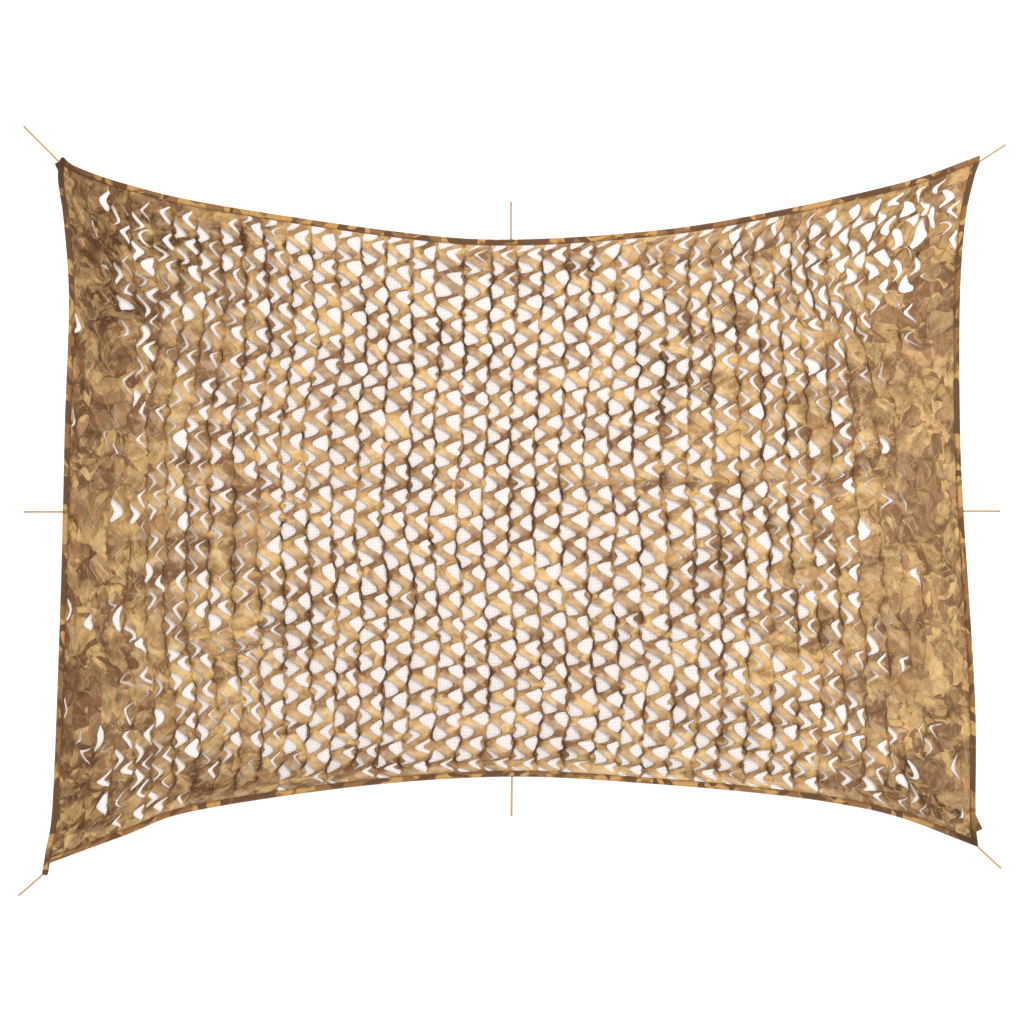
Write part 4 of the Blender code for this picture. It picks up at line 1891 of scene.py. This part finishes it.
        # Painted shadow along cut edges: darkest on band edges that face away from the light, and
        # broken into patches.
        shaded = np.where(of_right, right.up < -sag, left.up > sag)
        broken = folds.rims.at(place, row)
        band_rim = np.where(shaded, 1.0, folds.rim_faced_up)
        dark = np.where(of_band, band_rim, np.maximum(turn, folds.rim_least)) * broken * inside_net
        dark = dark * (1 - folds.rim_bunched * spots.bunched * (1 - self.evened(place, row)))
        # Painted highlights where cut edges catch the light, mostly towards the ends.
        lit = np.interp(side, *folds.lit)
        lit_band = np.maximum(folds.lit_least, folds.lit_band * lit)
        catch = np.where(of_band, np.where(shaded, folds.lit_shaded * lit, lit_band), lit)
        catch = catch * (1 - folds.lit_broken * broken) * folds.lit_rims.at(place, row)
        set_shades(mesh, fold=fold, rim=rim, dark=dark, catch=catch * inside_net)
        set_shades(mesh, spine=spine, turn=turn, lean=lean)

    def build(self, patch: Patch, finish: bpy.types.Material) -> bpy.types.Object:
        """Makes the cloth.

        Args:
            patch: The plan of the net.
            finish: The cloth's finish.

        Returns:
            The piece.
        """
        mesh = self.lattice(finish)
        self.drape(mesh, patch)
        return shown("garnish_cloth", mesh, "garnish", "garnish")


# --- The backing mesh --------------------------------------------------------------------------


@dataclass
class BackingMesh:
    """Fine pale threads, square to each other, under the garnish."""

    upright: int = 640
    level: int = 400
    upright_steps: int = 10
    level_steps: int = 20
    thread: float = 0.0012
    sides: int = 3
    low: float = 0.0004
    level_over: float = 0.7
    inset: float = 0.0055

    def paths(self, patch: Patch) -> bpy.types.Mesh:
        """The threads' paths.

        Args:
            patch: The plan of the net.

        Returns:
            A mesh of edges alone.
        """
        ends = (self.inset, 1 - self.inset)
        lines: list[np.ndarray] = []
        for count, steps, height, is_upright in (
            (self.upright, self.upright_steps, self.low, True),
            (self.level, self.level_steps, self.low + self.thread * self.level_over, False),
        ):
            even = np.linspace(*ends, steps + 1)
            closer_at_ends = 0.5 * even + 0.25 * (1 - np.cos(math.pi * even))
            thread, along = np.meshgrid(np.linspace(*ends, count), closer_at_ends, indexing="ij")
            plan = patch.at(thread, along) if is_upright else patch.at(along, thread)
            lines += list(np.dstack([plan, np.full(thread.shape, height)]))
        return path_mesh("backing_paths", lines)

    def build(self, patch: Patch, finish: bpy.types.Material) -> bpy.types.Object:
        """Makes the mesh's threads.

        Args:
            patch: The plan of the net.
            finish: The threads' finish.

        Returns:
            The piece.
        """
        sizes = {"Thread radius": self.thread / 2, "Sides": self.sides}
        recipe = Recipe("backing_threads", sizes, finish)
        curve = recipe.shape("GeometryNodeMeshToCurve", in_0=recipe.geometry)
        round_it = recipe.shape(
            "GeometryNodeCurvePrimitiveCircle",
            {"mode": "RADIUS"},
            Resolution=recipe.size("Sides"),
            Radius=recipe.size("Thread radius"),
        )
        tube = recipe.shape("GeometryNodeCurveToMesh", Curve=curve, Profile_Curve=round_it)
        return shown("backing_mesh", recipe.made(tube, self.paths(patch)), "garnish")


# --- The binding -------------------------------------------------------------------------------


@dataclass
class Binding:
    """Webbing folded round the cloth's four edges, and sewn down with two rows of stitches."""

    width: float = 0.025
    leaf: float = 0.0012
    height: float = 0.005
    fold: float = 0.002
    bevel: float = 0.0017
    bevel_steps: int = 4
    soft_edge: float = 0.0004
    flat_shares: tuple[float, ...] = (0.3, 0.55, 0.8)
    gap: float = 0.0003
    step: float = 0.012
    least_step: float = 0.0007
    waver: float = 0.0007
    waver_drift: Pair = (0.045, 0.009)
    waver_free: float = 0.03
    tab_rounding: float = 0.008
    corner_steps: tuple[float, ...] = (
        0.0008, 0.0024, 0.005, 0.008, 0.013, 0.018, 0.026, 0.036, 0.055, 0.080,
    )
    stitch_insets: tuple[float, ...] = (0.0045, 0.0205)
    stitch_ends: float = 0.020
    stitch_path_step: float = 0.02
    stitch_pitch: float = 0.010
    stitch_length: float = 0.0066
    stitch_radius: float = 0.0006
    stitch_lift: float = 0.35
    # A painted shadow in dashes along the webbing's inner edge.
    inner_edge: float = 0.72
    inner_shade: float = 0.35
    inner_dashes: float = 0.6
    dash_drift: Pair = (0.016, 1.0)
    # How far from the two corners, and how much, the webbing is painted darker.
    darker_corner_reach: float = 0.18
    darker_corner_amount: float = 0.85

    def section(self) -> np.ndarray:
        """The folded webbing's outline: inset from the edge and height, round it.

        Returns:
            Rows of inset and height.
        """
        turn = np.linspace(0, math.pi / 2, self.bevel_steps)
        low = [(self.bevel * (1 - math.sin(a)), self.bevel * (1 - math.cos(a))) for a in turn]
        inner_low, inner_high, soft = self.leaf, self.height - self.leaf, self.soft_edge
        outline = [
            (self.width, soft),
            (self.width - soft, 0.0),
            (self.width * self.flat_shares[1], 0.0),
            *low,
            *((x, self.height - y) for x, y in low[::-1]),
            *((self.width * share, self.height) for share in self.flat_shares),
            (self.width - soft, self.height),
            (self.width, self.height - soft),
            (self.width, inner_high),
            (self.fold, inner_high),
            (self.fold, inner_low),
            (self.width, inner_low),
        ]
        return np.array(outline)

    def strip_end(self, name: str, which: str, rails: dict[str, Rail]) -> Pair:
        """Distances along the outer and the inner line of a strip at its start or end.

        Args:
            name: The edge that it binds.
            which: Its start or end.
            rails: The net's edges.

        Returns:
            Both distances.
        """
        rail = rails[name]
        manner, other = STRIPS[name][which]
        if manner is End.FREE:
            distance = 0.0 if which == "start" else rail.length
            return distance, distance
        other_inset = 0.0 if manner is End.COVERS else self.width + self.gap
        return tuple(rail.crossing(inset, rails[other], other_inset) for inset in (0.0, self.width))

    def ear_reach(self, name: str, distance: float, length: float) -> float:
        """How far the folded ear sticks out at this distance along the strip.

        Args:
            name: The edge that it binds.
            distance: Where.
            length: The edge's length.

        Returns:
            The reach, or 0 away from an ear.
        """
        if name not in EARS:
            return 0.0
        ear = EARS[name]
        past = distance - ear.tip % length
        share = 1 + past / ear.before if past < 0 else 1 - past / ear.after
        return ear.reach * max(0.0, share)

    def taper(self, distance: float) -> float:
        """How far the sides of a free end draw in at this distance from it."""
        short = min(1.0, max(0.0, 1 - distance / self.tab_rounding))
        return self.tab_rounding * (1 - math.sqrt(1 - short**2))

    def stations(self, name: str, start: float, end: float, length: float) -> list[float]:
        """Distances along a strip at which it has a section.

        Args:
            name: The edge that it binds.
            start: Where it starts.
            end: Where it ends.
            length: The edge's length.

        Returns:
            The distances, in order.
        """
        places = list(np.linspace(start, end, round((end - start) / self.step)))
        for step in self.corner_steps:
            places += [start + step, end - step]
        if name in EARS:
            tip = EARS[name].tip % length
            places += [tip - EARS[name].before, tip, tip + EARS[name].after]
        apart = [start]
        for place in sorted(places):
            if min(place - apart[-1], end - place) > self.least_step:
                apart.append(place)
        return [*apart, end]

    def shaded(self, distance: float, outer: np.ndarray, inset: np.ndarray) -> np.ndarray:
        """How dark a section is: a painted shadow along the webbing's inner edge, and painted darker
        near two corners.

        Args:
            distance: Where along the strip.
            outer: The edge's plan place there.
            inset: The section's insets.

        Returns:
            The shade of each of its points.
        """
        dashes = 0.5 + 0.5 * float(Drift(47, self.dash_drift).at(np.array(distance), np.array(0.0)))
        into_edge = (inset / self.width - self.inner_edge) / (1 - self.inner_edge)
        inner = np.clip(into_edge, 0, 1) * (self.inner_shade + self.inner_dashes * dashes)
        away = (math.dist(outer, corner) / self.darker_corner_reach for corner in DARKER_WEBBING_CORNERS)
        return inner + self.darker_corner_amount * sum(math.exp(-(far**2)) for far in away)

    def strip(self, name: str, rails: dict[str, Rail], finish: bpy.types.Material) -> bpy.types.Object:
        """One strip of folded webbing.

        Args:
            name: The edge that it binds.
            rails: The net's edges.
            finish: The webbing's finish.

        Returns:
            The piece.
        """
        rail = rails[name]
        (start, inner_start), (end, inner_end) = (
            self.strip_end(name, which, rails) for which in ("start", "end")
        )
        section = self.section()
        inset, rise = section.T
        rings, flat, fold = [], [], []
        drift = Drift(31 + len(name), self.waver_drift)
        for distance in self.stations(name, start, end, rail.length):
            share = (distance - start) / (end - start)
            inner = rail.at(inner_start + share * (inner_end - inner_start), self.width)
            outer = rail.at(distance)
            eared = rail.at(distance, -self.ear_reach(name, distance, rail.length))
            from_start = distance - start if STRIPS[name]["start"][0] is End.FREE else 1.0
            from_end = end - distance if STRIPS[name]["end"][0] is End.FREE else 1.0
            drawn = self.taper(min(from_start, from_end)) / self.width
            across = drawn + (1 - 2 * drawn) * inset / self.width
            edge = np.where(section[:, :1] >= self.fold, outer, eared)
            plan = edge + (inner - edge) * across[:, None] + np.array(NET_CENTRE)
            near_end = min(1.0, min(distance - start, end - distance) / self.waver_free)
            wave = float(drift.at(np.array(distance), np.array(0.0))) * self.waver * near_end
            height = rise + wave * (rise > self.height / 2) * (inset / self.width)
            rings.append(np.column_stack([plan, height]))
            flat.append(np.column_stack([np.full(len(section), distance), inset + rise]))
            fold.append(self.shaded(distance, outer, inset))
        points, faces = lofted(np.array(rings))
        mesh = new_mesh(f"webbing_{name}", points, faces, finish)
        set_cloth_place(mesh, np.concatenate(flat) + np.array([len(name) * 1.7, 0.0]))
        set_shades(mesh, fold=np.concatenate(fold))
        face_out(mesh)
        return shown(f"webbing_{name}", mesh, "webbing", f"binding_{name}")

    def stitches(self, rails: dict[str, Rail], finish: bpy.types.Material) -> bpy.types.Object:
        """Every stitch of the binding, as one piece.

        Args:
            rails: The net's edges.
            finish: The thread's finish.

        Returns:
            The piece.
        """
        lines: list[np.ndarray] = []
        height = self.height + self.stitch_radius * self.stitch_lift
        for name in STRIPS:
            start, end = (self.strip_end(name, which, rails)[0] for which in ("start", "end"))
            first, last = start + self.stitch_ends, end - self.stitch_ends
            places = np.arange(first, last, self.stitch_path_step)
            for inset in self.stitch_insets:
                plan = rails[name].at(places, inset) + np.array(NET_CENTRE)
                lines.append(np.column_stack([plan, np.full(len(places), height)]))
        sizes = {
            "Pitch": self.stitch_pitch,
            "Stitch length": self.stitch_length,
            "Thread radius": self.stitch_radius,
        }
        recipe = Recipe("binding_stitches", sizes, finish)
        pitch, length, radius = map(recipe.size, recipe.sizes)
        curve = recipe.shape("GeometryNodeMeshToCurve", in_0=recipe.geometry)
        spots = recipe.add("GeometryNodeCurveToPoints", {"mode": "LENGTH"}, Curve=curve, Length=pitch)
        thread = recipe.shape("GeometryNodeMeshUVSphere", Segments=6, Rings=4, Radius=radius)
        stretch = recipe.shape("ShaderNodeCombineXYZ", X=1.0, Y=1.0, Z=length / (radius * 2))
        stitch = recipe.shape("GeometryNodeTransform", Geometry=thread, Scale=stretch)
        placed = recipe.shape(
            "GeometryNodeInstanceOnPoints",
            Points=recipe.wave(spots.outputs["Points"]),
            Instance=stitch,
            Rotation=recipe.wave(spots.outputs["Rotation"]),
        )
        mesh = recipe.made(placed, path_mesh("stitch_paths", lines))
        return shown("binding_stitches", mesh, "webbing")


# --- The ties ----------------------------------------------------------------------------------


@dataclass
class TieCord:
    """A laid cord of three strands, from the binding to its cut end."""

    name: str
    diameter: float = 0.008
    rest: float = 0.0041
    lay: float = 0.034
    step: float = 0.0022
    sides: int = 24
    strands: int = 3
    groove: float = 0.17
    groove_power: float = 1.5
    frayed: float = 0.10
    frayed_length: float = 0.006
    tip: float = 0.6
    tip_length: float = 0.002
    tip_fade: float = 0.010
    path_points: int = 16

    def ends(self) -> tuple[np.ndarray, np.ndarray]:
        """Where the cord leaves the binding, and its cut end, in the row frame."""
        near, far = (np.array([*place, self.rest]) for place in TIES[self.name])
        return near + [*NET_CENTRE, 0.0], far + [*NET_CENTRE, 0.0]

    def build(self, finish: bpy.types.Material) -> bpy.types.Object:
        """Args:
            finish: The cord's finish.

        Returns:
            The piece.
        """
        near, far = self.ends()
        length = float(np.linalg.norm(far - near))
        way = (far - near) / length
        across = np.array([-way[1], way[0], 0.0])
        angles = np.linspace(0, 2 * math.pi, self.sides, endpoint=False)
        rings, flat, fold, tip = [], [], [], []
        for along in np.linspace(0.0, length, round(length / self.step) + 1):
            turn = 2 * math.pi * along / self.lay
            lobes = np.abs(np.sin(self.strands / 2 * (angles - turn)))
            radius = self.diameter / 2 * (1 - self.groove * (1 - lobes) ** self.groove_power)
            to_cut = length - along
            radius = radius * (1 - self.frayed * max(0.0, 1 - to_cut / self.frayed_length))
            offset = np.outer(radius * np.cos(angles), across)
            offset += np.outer(radius * np.sin(angles), (0.0, 0.0, 1.0))
            rings.append(near + way * along + offset)
            flat.append(np.column_stack([np.full(self.sides, along), angles / (2 * math.pi)]))
            # Painted shade, deepest in the grooves between the strands.
            fold.append((1 - lobes) ** 2)
            sealed = min(1.0, max(0.0, 1 - (to_cut - self.tip_length) / self.tip_fade))
            tip.append(np.full(self.sides, sealed * self.tip))
        points, faces = lofted(np.array(rings))
        mesh = new_mesh(self.name, points, faces, finish)
        set_cloth_place(mesh, np.concatenate(flat))
        set_shades(mesh, fold=np.concatenate(fold), catch=np.concatenate(tip))
        face_out(mesh)
        piece = shown(f"{self.name}_cord", mesh, "cord", self.name)
        return piece


# --- The studio --------------------------------------------------------------------------------


@dataclass(frozen=True)
class Lamp:
    """A square lamp that points at the net: its place, its side and its power in watts."""

    name: str
    place: tuple[float, float, float]
    size: float
    power: float

    def build(self) -> None:
        """Hangs the lamp."""
        data = bpy.data.lights.new(self.name, "AREA")
        data.shape, data.size, data.energy = "SQUARE", self.size, self.power
        lamp = bpy.data.objects.new(self.name, data)
        lamp.location = self.place
        lamp.rotation_euler = Vector(self.place).to_track_quat("Z", "Y").to_euler()
        bpy.context.scene.collection.objects.link(lamp)


@dataclass
class Studio:
    """A plain pale floor, soft light from above, and a camera square over the net."""

    view_width: float = 4.383
    view_centre: Pair = (-0.0016, 0.0139)
    lens: float = 100.0
    sensor: float = 36.0
    clip: Pair = (0.1, 200.0)
    floor_size: float = 60.0
    sky: Colour = (1.0, 0.985, 0.97, 1.0)
    sky_strength: float = 0.72
    lamps: tuple[Lamp, ...] = (
        Lamp("key_lamp", (2.0, 4.0, 7.0), 4.0, 290.0),
        Lamp("top_lamp", (0.0, 0.0, 9.0), 6.0, 250.0),
    )

    def camera(self) -> None:
        """Hangs the camera over the net."""
        data = bpy.data.cameras.new("camera")
        data.lens, data.sensor_width = self.lens, self.sensor
        data.clip_start, data.clip_end = self.clip
        camera = bpy.data.objects.new("camera", data)
        camera.location = (*self.view_centre, self.view_width * self.lens / self.sensor)
        bpy.context.scene.collection.objects.link(camera)
        bpy.context.scene.camera = camera

    def floor(self) -> None:
        """Lays the floor under the net."""
        half = self.floor_size / 2
        corners = np.array([(-half, -half, 0), (half, -half, 0), (half, half, 0), (-half, half, 0)])
        mesh = new_mesh("floor", corners, [(0, 1, 2, 3)], FloorFinish("floor").build())
        floor = bpy.data.objects.new("floor", mesh)
        bpy.context.scene.collection.objects.link(floor)

    def light(self) -> None:
        """Lights the studio."""
        world = bpy.data.worlds.new("studio")
        world.use_nodes = True
        background = world.node_tree.nodes["Background"].inputs
        background["Color"].default_value = self.sky
        background["Strength"].default_value = self.sky_strength
        bpy.context.scene.world = world
        for lamp in self.lamps:
            lamp.build()

    def build(self) -> None:
        """Sets up the studio."""
        self.camera()
        self.floor()
        self.light()
        bpy.context.scene.view_settings.view_transform = "Standard"


def main() -> None:
    logging.basicConfig(level=logging.INFO, format="%(message)s")
    Studio().build()
    rails = {name: Rail(name) for name in EDGES}
    patch = Patch(rails)
    cord_finish = CordFinish("tie_cord").build()
    for name in TIES:
        TieCord(name).build(cord_finish)
    garnish = Garnish()
    cloth = garnish.build(patch, CamouflageFinish("garnish_cloth", garnish.flat_middle).build())
    backing_thread = ThreadFinish("backing_thread", dyed(214, 189, 172), dyed(195, 167, 149))
    backing = BackingMesh().build(patch, backing_thread.build())
    binding = Binding()
    webbing = WebbingFinish("binding_webbing").build()
    strips = [binding.strip(name, rails, webbing) for name in STRIPS]
    sewing_thread = ThreadFinish("sewing_thread", dyed(176, 136, 84), dyed(120, 88, 52))
    stitches = binding.stitches(rails, sewing_thread.build())


if __name__ == "__main__":
    main()
